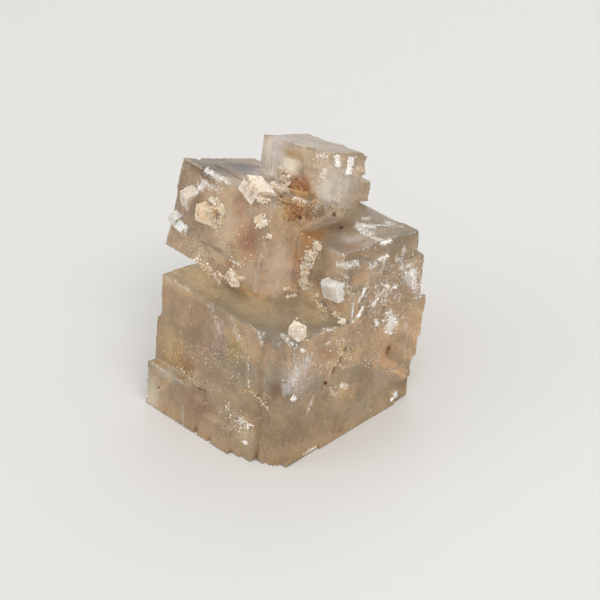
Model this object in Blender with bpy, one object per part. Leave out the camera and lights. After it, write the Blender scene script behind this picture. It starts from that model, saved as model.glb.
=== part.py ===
"""Halite crystal: an intergrown cluster of cubes that rests on a flat base. Metres, +Z up.

The cluster is drawn in its own lattice frame: X runs along the front face of the main cube,
Y runs back along its right face, and Z runs up its edges. Every place in that frame is a
multiple of EDGE. The lattice frame leans by BASE_LEAN, so that the flat base is level.
"""

import math
import random
from dataclasses import dataclass

import bmesh
import bpy
from mathutils import Euler, Vector

# Driving dimensions
EDGE = 0.040  # edge of the main cube along X
BASE_LEAN = math.radians(10.4)  # angle between the cube faces and the base
MAIN_DEPTH = 1.02  # the main cube along Y
MAIN_TOP = 0.78  # its top face above the front of the base
LEDGE_TOP = 0.263  # top of the slab along the foot of the front face
LEDGE_OUT = 0.067  # how far that slab stands in front of the front face
SHOULDER_FRONT = 0.466  # front face of the raised rear half
SHOULDER_TOP = 1.126  # its top face

# The two large crystals that lean back: lower front left corner, size and angles in degrees
LEFT_CORNER = (-0.278, 0.251, 0.775)
LEFT_SIZE = (0.817, 0.500, 0.505)
LEFT_LEAN = (-12.3, -2.6, -4.4)
CROWN_CORNER = (0.0005, 0.659, 1.102)
CROWN_SIZE = (0.480, 0.311, 0.321)
CROWN_LEAN = (-11.8, -7.7, -1.1)

BURIED = 0.12  # how deep a thin plate reaches into the block that it grew on
SEED = 11

TAN = (0.60, 0.49, 0.37, 1.0)
ROUGHNESS = 0.25


@dataclass(frozen=True)
class Lean:
    """A frame of its own for one crystal: its corner in the lattice frame, and its angles."""

    corner: tuple = (0.0, 0.0, 0.0)
    degrees: tuple = (0.0, 0.0, 0.0)

    def turn(self):
        return Euler([math.radians(angle) for angle in self.degrees])

    def place(self, point):
        """The lattice point of a point that is given in this frame."""
        return Vector(self.corner) + self.turn().to_matrix() @ Vector(point)


LATTICE = Lean()
LEFT = Lean(LEFT_CORNER, LEFT_LEAN)
CROWN = Lean(CROWN_CORNER, CROWN_LEAN)


def clear_scene():
    for item in list(bpy.data.objects):
        bpy.data.objects.remove(item, do_unlink=True)


def new_collection(name, helper=False):
    collection = bpy.data.collections.new(name)
    bpy.context.scene.collection.children.link(collection)
    collection.hide_render = helper
    return collection


def halite_material():
    material = bpy.data.materials.new("cloudy_halite")
    material.use_nodes = True
    shader = material.node_tree.nodes["Principled BSDF"]
    shader.inputs["Base Color"].default_value = TAN
    shader.inputs["Roughness"].default_value = ROUGHNESS
    shader.inputs["Metallic"].default_value = 0.0
    shader.inputs["Transmission Weight"].default_value = 0.6
    shader.inputs["IOR"].default_value = 1.544
    return material


class Cluster:
    """Collects the blocks, the cutters and the small crystals, and fuses them into one solid."""

    def __init__(self):
        self.body_collection = new_collection("halite_cluster")
        self.growth = new_collection("halite_growth", helper=True)
        self.cutters = new_collection("halite_cutters", helper=True)
        self.druse = new_collection("halite_druse", helper=True)
        self.lattice = bpy.data.objects.new("lattice", None)
        self.body_collection.objects.link(self.lattice)
        self.lattice.rotation_euler = (-BASE_LEAN, 0.0, 0.0)
        self.random = random.Random(SEED)

    def box(self, name, centre, size, turn, collection):
        """A box with its scale applied, centred on a lattice point."""
        bpy.ops.mesh.primitive_cube_add(size=1.0)
        item = bpy.context.active_object
        item.name = name
        item.scale = [EDGE * side for side in size]
        bpy.ops.object.transform_apply(location=False, rotation=False, scale=True)
        item.parent = self.lattice
        item.location = EDGE * Vector(centre)
        item.rotation_euler = turn
        for owner in list(item.users_collection):
            owner.objects.unlink(item)
        collection.objects.link(item)
        if collection.hide_render:
            item.hide_render = True
            item.display_type = "WIRE"
        return item

    def span(self, name, low, high, frame=LATTICE, collection=None):
        """A box between two corners, both given in the frame of one crystal."""
        low, high = Vector(low), Vector(high)
        where = collection or self.growth
        return self.box(name, frame.place((low + high) / 2), high - low, frame.turn(), where)

    def cut(self, name, low, high, frame=LATTICE):
        return self.span(name, low, high, frame, self.cutters)

    def crystal(self, name, centre, size, degrees):
        """A small crystal on its own, centred on a lattice point."""
        turn = Euler([math.radians(angle) for angle in degrees])
        return self.box(name, centre, size, turn, self.druse)

    def crust(self, name, frame, points, count, sizes, spread, wander=14.0):
        """Small cubes scattered along a run of points, each turned a little off its frame."""
        for number in range(count):
            along = self.random.random() * (len(points) - 1)
            first = min(int(along), len(points) - 2)
            centre = Vector(points[first]).lerp(Vector(points[first + 1]), along - first)
            centre += Vector([self.random.uniform(-reach, reach) for reach in spread])
            side = self.random.uniform(*sizes)
            size = [side * self.random.uniform(0.8, 1.25) for _ in range(3)]
            turn = [angle + self.random.uniform(-wander, wander) for angle in frame.degrees]
            self.crystal(f"{name}_{number}", frame.place(centre), size, turn)


def growth_plates(cluster, name, frame, axis, face, spans, count, reach):
    """Thin layers of growth at random places on one flat face.

    The face stands at `face` along `axis` and its layers come out by up to `reach`, or towards
    the low side where `reach` is negative. `spans` gives the low and high end of the face along
    the two other axes.
    """
    across, up = [other for other in range(3) if other != axis]
    for number in range(count):
        low, high = [0.0] * 3, [0.0] * 3
        for other, (start, end) in zip((across, up), spans):
            length = (end - start) * cluster.random.uniform(0.18, 0.55)
            low[other] = cluster.random.uniform(start, end - length)
            high[other] = low[other] + length
        out = face + reach * cluster.random.uniform(0.3, 1.0)
        inner = face - math.copysign(BURIED + 0.002 * number, reach)
        low[axis], high[axis] = min(out, inner), max(out, inner)
        cluster.span(f"{name}_{number}", low, high, frame)


def main_cube(cluster):
    """The lower block. Its front face steps back towards the front corner."""
    foot = -0.10
    steps = ((0.0, 0.825), (0.028, 0.921), (0.071, 1.0))
    front, reach = steps[2]
    body = cluster.span(
        "halite_crystal",
        (0.0, front, foot),
        (reach, MAIN_DEPTH, MAIN_TOP),
        collection=cluster.body_collection,
    )
    for number, (front, reach) in enumerate(steps[:2]):
        inset = 0.003 * (number + 1)
        top = MAIN_TOP - 0.002 * (number + 1)
        low = (inset, front, foot - inset)
        cluster.span(f"front_step_{number}", low, (reach, 0.5 + inset, top))
    return body


def ledge(cluster):
    """The slab along the foot of the front face, with the growth layers beside it."""
    back = 0.2
    layers = (
        # from x, to x, low z, high z, how far in front of the front face
        (-0.004, 0.36, -0.12, LEDGE_TOP, LEDGE_OUT),
        (0.34, 0.47, -0.13, 0.215, LEDGE_OUT - 0.0015),
        (0.45, 0.681, -0.14, 0.150, LEDGE_OUT - 0.003),
        (0.30, 0.750, -0.15, 0.330, 0.038),
        (0.52, 0.825, -0.16, 0.245, 0.025),
        (-0.009, 0.41, 0.05, 0.520, 0.011),
        (0.38, 0.700, 0.06, 0.610, 0.016),
        (0.55, 0.790, 0.07, 0.470, 0.021),
        (0.60, 0.715, 0.30, 0.735, 0.008),
        (0.16, 0.33, 0.31, 0.66, 0.005),
    )
    for number, (left, right, low, high, out) in enumerate(layers):
        cluster.span(f"layer_{number}", (left, -out, low), (right, back + 0.01 * number, high))
    corner_layers = (
        # from x, to x, how far behind the front face, high z
        (0.83, 0.885, 0.010, 0.64),
        (0.90, 0.955, 0.052, 0.55),
        (0.86, 0.94, 0.036, 0.33),
    )
    for number, (left, right, front, high) in enumerate(corner_layers):
        low = (left, front, -0.17 - 0.01 * number)
        cluster.span(f"corner_layer_{number}", low, (right, 0.4 + 0.01 * number, high))


def shoulder(cluster):
    """The raised rear half, with terraces down its right side."""
    left, low = 0.15, 0.5
    back = MAIN_DEPTH
    cluster.span("shoulder", (left, SHOULDER_FRONT, low), (0.906, back - 0.002, SHOULDER_TOP))
    terraces = (
        # right x, from y, to y, top z
        (0.961, 0.4675, 0.600, 1.098),
        (0.958, 0.580, 0.770, 1.062),
        (0.9635, 0.750, back - 0.004, 1.011),
        (0.996, 0.4645, 0.640, 0.945),
        (0.984, 0.620, 0.800, 0.905),
        (0.991, 0.700, 0.840, 0.835),
        (0.975, 0.845, 0.960, 0.950),
    )
    for number, (right, front, rear, top) in enumerate(terraces):
        deep = (0.5 + 0.01 * number, front, low - 0.01 * number)
        cluster.span(f"terrace_{number}", deep, (right, rear, top))
    cluster.span("top_plate", (0.33, 0.62, 0.9), (0.78, 0.985, SHOULDER_TOP + 0.009))
    cluster.span("rear_shelf", (0.42, 0.80, 0.8), (0.71, back + 0.012, 1.04))
    top_face = ((0.60, 0.89), (0.49, 0.99))
    growth_plates(cluster, "top_skin", LATTICE, 2, SHOULDER_TOP, top_face, 4, 0.008)


def right_face(cluster):
    """Low growth layers, slanting grooves and nooks on the right face."""
    layers = (
        # from y, to y, low z, high z, how far out
        (0.10, 0.44, 0.18, 0.545, 0.006),
        (0.30, 0.72, 0.05, 0.385, 0.010),
        (0.58, 0.93, 0.30, 0.640, 0.007),
        (0.16, 0.56, 0.60, 0.715, 0.005),
        (0.70, 0.84, 0.02, 0.260, 0.014),
    )
    for number, (front, rear, low, high, out) in enumerate(layers):
        inner = (0.6 + 0.01 * number, front, low)
        cluster.span(f"right_layer_{number}", inner, (1.0 + out, rear, high))
    low_face = ((0.11, 0.90), (0.17, 0.75))
    growth_plates(cluster, "right_skin", LATTICE, 0, 1.0, low_face, 9, 0.009)
    slant, groove_depth = 45.0, 0.075
    grooves = (
        # y, z of the middle, length, width
        (0.655, 0.975, 0.30, 0.016),
        (0.585, 0.905, 0.20, 0.013),
        (0.745, 0.925, 0.22, 0.014),
        (0.855, 0.945, 0.17, 0.012),
        (0.560, 0.800, 0.17, 0.012),
        (0.700, 0.760, 0.15, 0.012),
        (0.400, 0.560, 0.20, 0.011),
    )
    for number, (y, z, length, width) in enumerate(grooves):
        turn = Euler((math.radians(slant + 3 * number), 0, 0))
        size = (groove_depth, length, width)
        cluster.box(f"groove_{number}", (0.995, y, z), size, turn, cluster.cutters)
    nooks = (
        # y, low z, side
        (0.311, 0.452, 0.050),
        (0.761, 0.552, 0.034),
        (0.629, 0.410, 0.030),
        (0.365, 0.512, 0.040),
    )
    for number, (y, z, side) in enumerate(nooks):
        cluster.cut(f"nook_{number}", (0.985, y, z), (1.05, y + side, z + 0.6 * side))


def left_crystal(cluster):
    """The large crystal at the upper left, which leans back and stands on a foot of crust."""
    _, depth, height = LEFT_SIZE
    cluster.span("left_crystal", (0, 0, 0), LEFT_SIZE, LEFT)
    cluster.span("left_foot", (0.045, 0.215, 0.69), (0.532, 0.62, 0.93))
    plates = (
        # left x, front y, low z, right x, high z
        (0.02, -0.009, 0.06, 0.30, 0.31),
        (0.40, -0.006, 0.045, 0.74, 0.25),
        (0.52, -0.011, 0.24, 0.80, 0.41),
    )
    for number, (left, front, low, right, high) in enumerate(plates):
        cluster.span(f"left_plate_{number}", (left, front, low), (right, 0.2, high), LEFT)
    cluster.span("left_top_plate", (0.10, 0.12, 0.3), (0.60, depth - 0.03, height + 0.007), LEFT)
    cluster.span("left_end_plate", (-0.009, 0.17, 0.12), (0.3, 0.41, 0.42), LEFT)
    rear_face = ((0.05, 0.50), (0.06, 0.45))
    growth_plates(cluster, "left_rear_skin", LEFT, 1, depth, rear_face, 4, 0.012)
    end_face = ((0.05, 0.45), (0.05, 0.45))
    growth_plates(cluster, "left_end_skin", LEFT, 0, 0.0, end_face, 3, -0.010)
    front_face = ((0.05, 0.78), (0.04, 0.46))
    growth_plates(cluster, "left_front_skin", LEFT, 1, 0.0, front_face, 4, -0.006)
    notch = (-0.02, 0.085, height - 0.008)
    cluster.cut("left_top_notch", notch, (0.05, 0.115, height + 0.05), LEFT)


def crown_crystal(cluster):
    """The crystal at the top, with a step at its rear and low facets on its right end."""
    width, depth, height = CROWN_SIZE
    cluster.span("crown_crystal", (0, 0, 0), CROWN_SIZE, CROWN)
    cluster.span("crown_step", (0.15, 0.19, 0.05), (width - 0.002, 0.387, 0.160), CROWN)
    cluster.span("crown_sill", (0.22, 0.24, 0.048), (width + 0.012, 0.379, 0.078), CROWN)
    facets = (
        # from y, to y, low z, high z, how far out of the right end
        (0.085, 0.128, 0.245, 0.312, 0.007),
        (0.178, 0.222, 0.20, 0.305, 0.009),
        (0.283, 0.30, 0.22, 0.29, 0.006),
    )
    for number, (front, rear, low, high, out) in enumerate(facets):
        cluster.span(f"crown_facet_{number}", (0.3, front, low), (width + out, rear, high), CROWN)
    rear_face = ((0.05, 0.44), (0.17, 0.30))
    growth_plates(cluster, "crown_rear_skin", CROWN, 1, depth, rear_face, 3, 0.008)
    cluster.span("crown_cap", (0.31, 0.20, 0.195), (width + 0.004, depth + 0.018, 0.300), CROWN)
    hollow = (width - 0.008, 0.035, 0.255)
    cluster.cut("crown_hollow", hollow, (width + 0.05, 0.080, 0.318), CROWN)
    cluster.span("crown_left_plate", (-0.003, -0.008, 0.03), (0.12, 0.15, height - 0.004), CROWN)
    cluster.cut("crown_band", (0.145, -0.05, 0.222), (0.345, 0.009, 0.248), CROWN)


def hidden_sides(cluster):
    """Cleavage steps on the left and rear faces, and the rear corner that narrows downwards."""
    back = MAIN_DEPTH
    rear_cuts = ((0.665, 0.012), (0.53, 0.030), (0.41, 0.052), (0.30, 0.078))  # top z, how deep
    for number, (top, deep) in enumerate(rear_cuts):
        past = 0.01 * number
        low = (0.62 - 7 * past, back - deep, -0.2 - past)
        cluster.cut(f"rear_cut_{number}", low, (1.1 + past, back + 0.1 + past, top))
    rear_plates = (
        # left x, right x, low z, high z, how far out
        (0.10, 0.52, 0.12, 0.60, 0.013),
        (0.26, 0.60, 0.40, 0.71, 0.022),
        (0.05, 0.30, 0.52, 0.74, 0.008),
    )
    for number, (left, right, low, high, out) in enumerate(rear_plates):
        inner = (left, 0.7 - 0.01 * number, low)
        cluster.span(f"rear_plate_{number}", inner, (right, back + out, high))
    side_plates = (
        # from y, to y, low z, high z, how far out
        (0.22, 0.70, 0.08, 0.50, 0.014),
        (0.42, 0.93, 0.30, 0.66, 0.009),
        (0.60, 0.86, 0.10, 0.36, 0.024),
    )
    for number, (front, rear, low, high, out) in enumerate(side_plates):
        outer = (-out, front, low)
        cluster.span(f"side_plate_{number}", outer, (0.3 + 0.01 * number, rear, high))
    rear_face = ((0.08, 0.90), (0.25, 0.72))
    growth_plates(cluster, "rear_skin", LATTICE, 1, back, rear_face, 6, 0.014)
    side_face = ((0.10, 0.95), (0.22, 0.72))
    growth_plates(cluster, "side_skin", LATTICE, 0, 0.0, side_face, 6, -0.014)
    front_face = ((0.03, 0.78), (0.30, 0.75))
    growth_plates(cluster, "front_skin", LATTICE, 1, 0.0, front_face, 6, -0.008)
    cluster.cut("rear_left_chip", (-0.05, 0.93, 0.46), (0.12, 1.1, 0.9))


def grooves_in_foot(cluster):
    """Two upright grooves in the ledge, and the level base."""
    for number, x in enumerate((0.405, 0.515)):
        low = (x, -LEDGE_OUT - 0.03, -0.2)
        high = (x + 0.028, -LEDGE_OUT + 0.017, 0.13 - 0.03 * number)
        cluster.cut(f"foot_groove_{number}", low, high)
    base = Lean((0.0, -LEDGE_OUT, 0.0), (math.degrees(BASE_LEAN), 0.0, 0.0))
    cluster.cut("base_cut", (-1.0, -1.0, -1.0), (2.0, 2.0, 0.0), base)


def single_crystals(cluster):
    """The small crystals that stand out on their own."""
    crystals = (
        # name, frame, middle, size, angles in degrees
        ("tilted_cube", LEFT, (0.605, 0.045, 0.520), (0.132, 0.118, 0.096), (-20, 20, -6)),
        ("face_cube", LEFT, (0.336, -0.014, 0.300), (0.112, 0.104, 0.088), (-4, 0, 9)),
        ("face_plate", LEFT, (0.148, -0.018, 0.324), (0.060, 0.080, 0.100), (19, 19, -3)),
        ("edge_bar", LEFT, (0.115, -0.018, 0.159), (0.160, 0.055, 0.050), (-20, 9, -6)),
        ("edge_knob", LEFT, (0.083, -0.038, 0.186), (0.055, 0.050, 0.052), (10, 25, 8)),
        ("stained_cube", LEFT, (0.654, 0.291, 0.496), (0.085, 0.075, 0.080), (-12, -8, -1)),
        ("stained_knob", LEFT, (0.759, 0.344, 0.470), (0.060, 0.060, 0.070), (20, 10, 5)),
        ("crest_cube", LEFT, (0.730, 0.250, 0.475), (0.070, 0.090, 0.080), (-20, 12, 20)),
        ("shoulder_cube", LATTICE, (0.872, 0.455, 0.924), (0.118, 0.084, 0.092), (12, -8, -2)),
        ("corner_cube", LATTICE, (0.954, 0.124, 0.806), (0.071, 0.065, 0.066), (5, 0, 4)),
        ("foot_cube", LATTICE, (0.992, 0.842, 0.222), (0.044, 0.040, 0.038), (8, 5, 12)),
    )
    for name, frame, middle, size, degrees in crystals:
        cluster.crystal(name, frame.place(middle), size, degrees)


def crusts(cluster):
    """Bands of fine cubes where the large crystals meet, and loose grains on their faces."""
    height = LEFT_SIZE[2]
    flat = (0.012, 0.006, 0.012)
    bands = (
        # name, frame, points along the band, how many, least and most side, spread
        ("stain", CROWN, ((0.21, -0.01, 0.16), (0.30, -0.02, 0.10), (0.37, -0.02, 0.02)),
         16, (0.026, 0.050), (0.03, 0.015, 0.03)),
        ("stain_foot", LEFT, ((0.74, 0.08, 0.50), (0.80, 0.16, 0.47), (0.81, 0.22, 0.40)),
         9, (0.022, 0.040), (0.02, 0.02, 0.02)),
        ("seam", LATTICE, ((0.64, 0.462, 1.115), (0.635, 0.462, 0.96), (0.625, 0.462, 0.79)),
         16, (0.018, 0.040), (0.018, 0.006, 0.02)),
        ("shoulder_foot", LATTICE, ((0.63, 0.455, 0.785), (0.80, 0.455, 0.785), (0.97, 0.45, 0.785)),
         12, (0.014, 0.032), (0.010, 0.010, 0.012)),
        ("left_foot_crust", LEFT, ((0.46, 0.0, 0.03), (0.58, 0.0, 0.04), (0.68, 0.0, 0.01)),
         9, (0.022, 0.042), flat),
        ("left_foot_grains", LEFT, ((0.74, 0.01, 0.0), (0.81, 0.02, 0.0), (0.81, 0.30, 0.01)),
         7, (0.014, 0.030), flat),
        ("left_face_grains", LEFT, ((0.30, 0.0, 0.10), (0.42, 0.0, 0.22), (0.60, 0.0, 0.17)),
         6, (0.013, 0.022), (0.05, 0.003, 0.06)),
        ("left_corner_grains", LEFT, ((0.73, 0.0, 0.42), (0.80, 0.0, 0.36), (0.84, 0.0, 0.31)),
         7, (0.018, 0.034), flat),
        ("top_edge_grains", LEFT, ((0.24, 0.0, height), (0.38, 0.0, height), (0.45, 0.0, height)),
         6, (0.016, 0.028), flat),
        ("corner_grains", LATTICE, ((0.86, 0.10, MAIN_TOP), (0.98, 0.18, MAIN_TOP)),
         6, (0.012, 0.024), (0.03, 0.03, 0.004)),
    )
    for name, frame, points, count, sizes, spread in bands:
        cluster.crust(name, frame, points, count, sizes, spread)


def fuse(cluster, body):
    """Joins the growth blocks to the body, cuts it, and then joins the small crystals."""
    steps = (
        ("Grow", "UNION", cluster.growth),
        ("Cut", "DIFFERENCE", cluster.cutters),
        ("Druse", "UNION", cluster.druse),
    )
    for name, operation, collection in steps:
        modifier = body.modifiers.new(name, "BOOLEAN")
        modifier.operation = operation
        modifier.operand_type = "COLLECTION"
        modifier.collection = collection
        modifier.solver = "EXACT"


def islands_of(shape):
    """The groups of faces that hang together."""
    left = set(shape.faces)
    while left:
        waiting = [left.pop()]
        island = []
        while waiting:
            face = waiting.pop()
            island.append(face)
            beside = {other for edge in face.edges for other in edge.link_faces} & left
            left -= beside
            waiting.extend(beside)
        yield island


def volume_of(island):
    """The volume inside a group of faces, which is negative for a hollow."""
    total = 0.0
    for face in island:
        first, *others = [vertex.co for vertex in face.verts]
        for second, third in zip(others, others[1:]):
            total += first.dot(second.cross(third)) / 6
    return total


def fill_hollows(body):
    """Makes the fused shape a plain mesh, and fills the hollows that its blocks shut in."""
    graph = bpy.context.evaluated_depsgraph_get()
    mesh = bpy.data.meshes.new_from_object(body.evaluated_get(graph))
    body.modifiers.clear()
    body.data = mesh
    shape = bmesh.new()
    shape.from_mesh(mesh)
    for island in list(islands_of(shape)):
        if volume_of(island) < 0:
            bmesh.ops.delete(shape, geom=island, context="FACES")
    shape.to_mesh(mesh)
    shape.free()
    mesh.materials.clear()
    mesh.materials.append(halite_material())


def settle(cluster, body):
    """Moves the lattice so that the base is at height zero, under the middle of the cluster."""
    points = [body.matrix_world @ vertex.co for vertex in body.data.vertices]
    lows = [min(point[axis] for point in points) for axis in range(3)]
    highs = [max(point[axis] for point in points) for axis in range(3)]
    middle = [(low + high) / 2 for low, high in zip(lows, highs)]
    cluster.lattice.location = (-middle[0], -middle[1], -lows[2])
    bpy.context.view_layer.update()


def main():
    clear_scene()
    cluster = Cluster()
    body = main_cube(cluster)
    ledge(cluster)
    shoulder(cluster)
    right_face(cluster)
    left_crystal(cluster)
    crown_crystal(cluster)
    hidden_sides(cluster)
    grooves_in_foot(cluster)
    single_crystals(cluster)
    crusts(cluster)
    fuse(cluster, body)
    fill_hollows(body)
    settle(cluster, body)


main()
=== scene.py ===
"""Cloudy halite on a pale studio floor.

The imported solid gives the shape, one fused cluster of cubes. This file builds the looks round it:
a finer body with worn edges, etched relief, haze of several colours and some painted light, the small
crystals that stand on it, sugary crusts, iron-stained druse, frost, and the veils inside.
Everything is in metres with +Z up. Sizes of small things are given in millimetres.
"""

import logging
import math
import random
from dataclasses import dataclass, field, replace
from enum import Enum
from typing import Iterable, Sequence

import bmesh
import bpy
import numpy as np
from mathutils import Euler, Matrix, Vector, noise
from mathutils.bvhtree import BVHTree
from mathutils.kdtree import KDTree


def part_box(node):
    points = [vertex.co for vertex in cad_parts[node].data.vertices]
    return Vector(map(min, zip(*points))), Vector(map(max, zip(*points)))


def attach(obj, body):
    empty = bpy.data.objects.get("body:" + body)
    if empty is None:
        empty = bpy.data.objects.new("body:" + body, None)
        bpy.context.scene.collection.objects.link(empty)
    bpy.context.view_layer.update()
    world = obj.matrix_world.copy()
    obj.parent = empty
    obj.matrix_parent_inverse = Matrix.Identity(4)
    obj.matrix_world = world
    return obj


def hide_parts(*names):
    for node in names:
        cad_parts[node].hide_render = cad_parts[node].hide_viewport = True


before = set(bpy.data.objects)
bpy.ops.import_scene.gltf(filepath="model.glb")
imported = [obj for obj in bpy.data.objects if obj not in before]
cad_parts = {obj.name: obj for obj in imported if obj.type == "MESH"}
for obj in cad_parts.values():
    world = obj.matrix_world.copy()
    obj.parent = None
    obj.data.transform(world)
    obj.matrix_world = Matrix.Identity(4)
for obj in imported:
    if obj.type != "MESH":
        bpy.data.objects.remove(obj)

LOG = logging.getLogger("halite")
NODE = "halite_crystal"
BODY = "root"

MM = 0.001
EDGE = 0.040  # edge of the main cube, the unit of the lattice frame
BASE_LEAN = 10.4  # degrees between the cube faces and the base
LATTICE_ORIGIN = Vector((-0.014548, -0.024052, -0.000484))
SEED = 23
FRONT_CORNER = (1.0, 0.0, 0.0)  # foot of the main cube's front corner in the lattice
FEATHERS = (43.0, 0.0, 0.0)  # turn that brings the frost's streaks upright

Pixel = tuple[float, float]
Triple = tuple[float, float, float]
Colour = tuple[float, float, float]
Span = tuple[float, float]  # the smallest and the largest
Node = bpy.types.Node
Socket = bpy.types.NodeSocket


# ---------------------------------------------------------------- frames and rays


def rotation(degrees: Sequence[float]) -> Matrix:
    """The rotation for three Euler angles in degrees."""
    return Euler([math.radians(angle) for angle in degrees]).to_matrix()


@dataclass(frozen=True)
class CrystalFrame:
    """The frame of one large crystal, as the part sets it out in its lattice.

    Attributes:
        corner: lower left front corner in lattice units.
        degrees: Euler angles against the lattice.
    """

    corner: Triple = (0.0, 0.0, 0.0)
    degrees: Triple = (0.0, 0.0, 0.0)

    def turn(self) -> Matrix:
        """The rotation from this frame to the world."""
        return LATTICE_TURN @ rotation(self.degrees)

    def place(self, point: Sequence[float]) -> Vector:
        """The world place of a point given in this frame, in units of EDGE."""
        corner = LATTICE_TURN @ (EDGE * Vector(self.corner))
        return LATTICE_ORIGIN + corner + self.turn() @ (EDGE * Vector(point))


LATTICE_TURN = rotation((-BASE_LEAN, 0.0, 0.0))
LATTICE = CrystalFrame()
LEFT = CrystalFrame((-0.278, 0.251, 0.775), (-12.3, -2.6, -4.4))
CROWN = CrystalFrame((0.0005, 0.659, 1.102), (-11.8, -7.7, -1.1))
HOSTS = (LATTICE, LEFT, CROWN)


@dataclass(frozen=True)
class Viewpoint:
    """The camera, and the rays that leave it through points of its square picture."""

    place: Triple = (0.32483, -0.26101, 0.29989)
    angles: Triple = (56.044, 3.714, 47.927)
    lens: float = 138.017
    sensor: float = 36.0
    side: float = 600.0

    def turn(self) -> Matrix:
        """The rotation from camera space to the world."""
        return rotation(self.angles)

    def ray(self, pixel: Pixel) -> tuple[Vector, Vector]:
        """The start and the direction of the ray through a point of the picture.

        Args:
            pixel: distance from the left and from the top edge of the 600-square picture.

        Returns:
            The camera's place and a unit vector.
        """
        focal = self.lens / self.sensor * self.side
        across = (pixel[0] - self.side / 2) / focal
        down = (pixel[1] - self.side / 2) / focal
        return Vector(self.place), (self.turn() @ Vector((across, -down, -1.0))).normalized()

    def make_camera(self) -> bpy.types.Object:
        """Adds the camera to the scene and makes it the active one."""
        data = bpy.data.cameras.new("view")
        data.lens = self.lens
        data.sensor_width = self.sensor
        camera = bpy.data.objects.new("view", data)
        camera.location = self.place
        camera.rotation_euler = [math.radians(angle) for angle in self.angles]
        bpy.context.scene.collection.objects.link(camera)
        bpy.context.scene.camera = camera
        return camera


@dataclass(frozen=True)
class Foothold:
    """A place on the outside of the cluster where a grain can sit."""

    point: Vector
    normal: Vector

    def turn(self) -> Matrix:
        """The rotation of the host crystal, with its third column out of the face."""
        best = max(
            ((abs(host.turn().col[axis] @ self.normal), host, axis) for host in HOSTS for axis in range(3)),
            key=lambda found: found[0],
        )
        axes = best[1].turn()
        out = axes.col[best[2]].copy()
        if out.dot(self.normal) < 0:
            out.negate()
        along = axes.col[(best[2] + 1) % 3].copy()
        return Matrix((along, out.cross(along), out)).transposed()


class Skin:
    """The outside of the solid, for finding where a small piece sits.

    Attributes:
        aim_side: how far from the middle axis the chance rays aim, in millimetres.
        aim_heights: the lowest and the highest place that they aim at, in millimetres.
        lowest: no place below this height is taken, in millimetres.
    """

    aim_side = 15.0
    aim_heights = (5.0, 46.0)
    lowest = 1.5

    def __init__(self, solid: bpy.types.Object, view: Viewpoint) -> None:
        mesh = solid.data
        points = [solid.matrix_world @ vertex.co for vertex in mesh.vertices]
        self.tree = BVHTree.FromPolygons(points, [tuple(face.vertices) for face in mesh.polygons])
        self.view = view

    def along(self, start: Vector, direction: Vector) -> Foothold | None:
        """The first place that a ray meets, or None where it misses."""
        point, normal, _, _ = self.tree.ray_cast(start, direction)
        if point is None:
            return None
        return Foothold(point, -normal if normal.dot(direction) > 0 else normal)

    def at(self, pixel: Pixel) -> Foothold | None:
        """The place that shows at a point of the picture."""
        return self.along(*self.view.ray(pixel))

    def far_side(self, draw: random.Random, count: int) -> list[Foothold]:
        """Chance places on the sides that the camera doesn't see.

        Args:
            draw: the source of chance.
            count: how many places.

        Returns:
            The places found.
        """
        found: list[Foothold] = []
        towards = Vector(self.view.place)
        side, (low, high) = self.aim_side, self.aim_heights
        while len(found) < count:
            aim = (draw.uniform(-side, side), draw.uniform(-side, side), draw.uniform(low, high))
            centre = Vector(aim) * MM
            way = Vector((draw.gauss(0, 1), draw.gauss(0, 1), draw.gauss(0, 0.6))).normalized()
            foot = self.along(centre + 3 * EDGE * way, -way)
            if foot is None or foot.point.z < self.lowest * MM or foot.normal.dot(towards - foot.point) > 0:
                continue
            found.append(foot)
        return found


# ---------------------------------------------------------------- colours and node groups


def seen(code: int) -> Colour:
    """The linear colour that is seen as an eight-bit code, such as 0xA18768."""
    values = [(code >> shift & 255) / 255 for shift in (16, 8, 0)]
    return tuple(v / 12.92 if v <= 0.04045 else ((v + 0.055) / 1.055) ** 2.4 for v in values)


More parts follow.
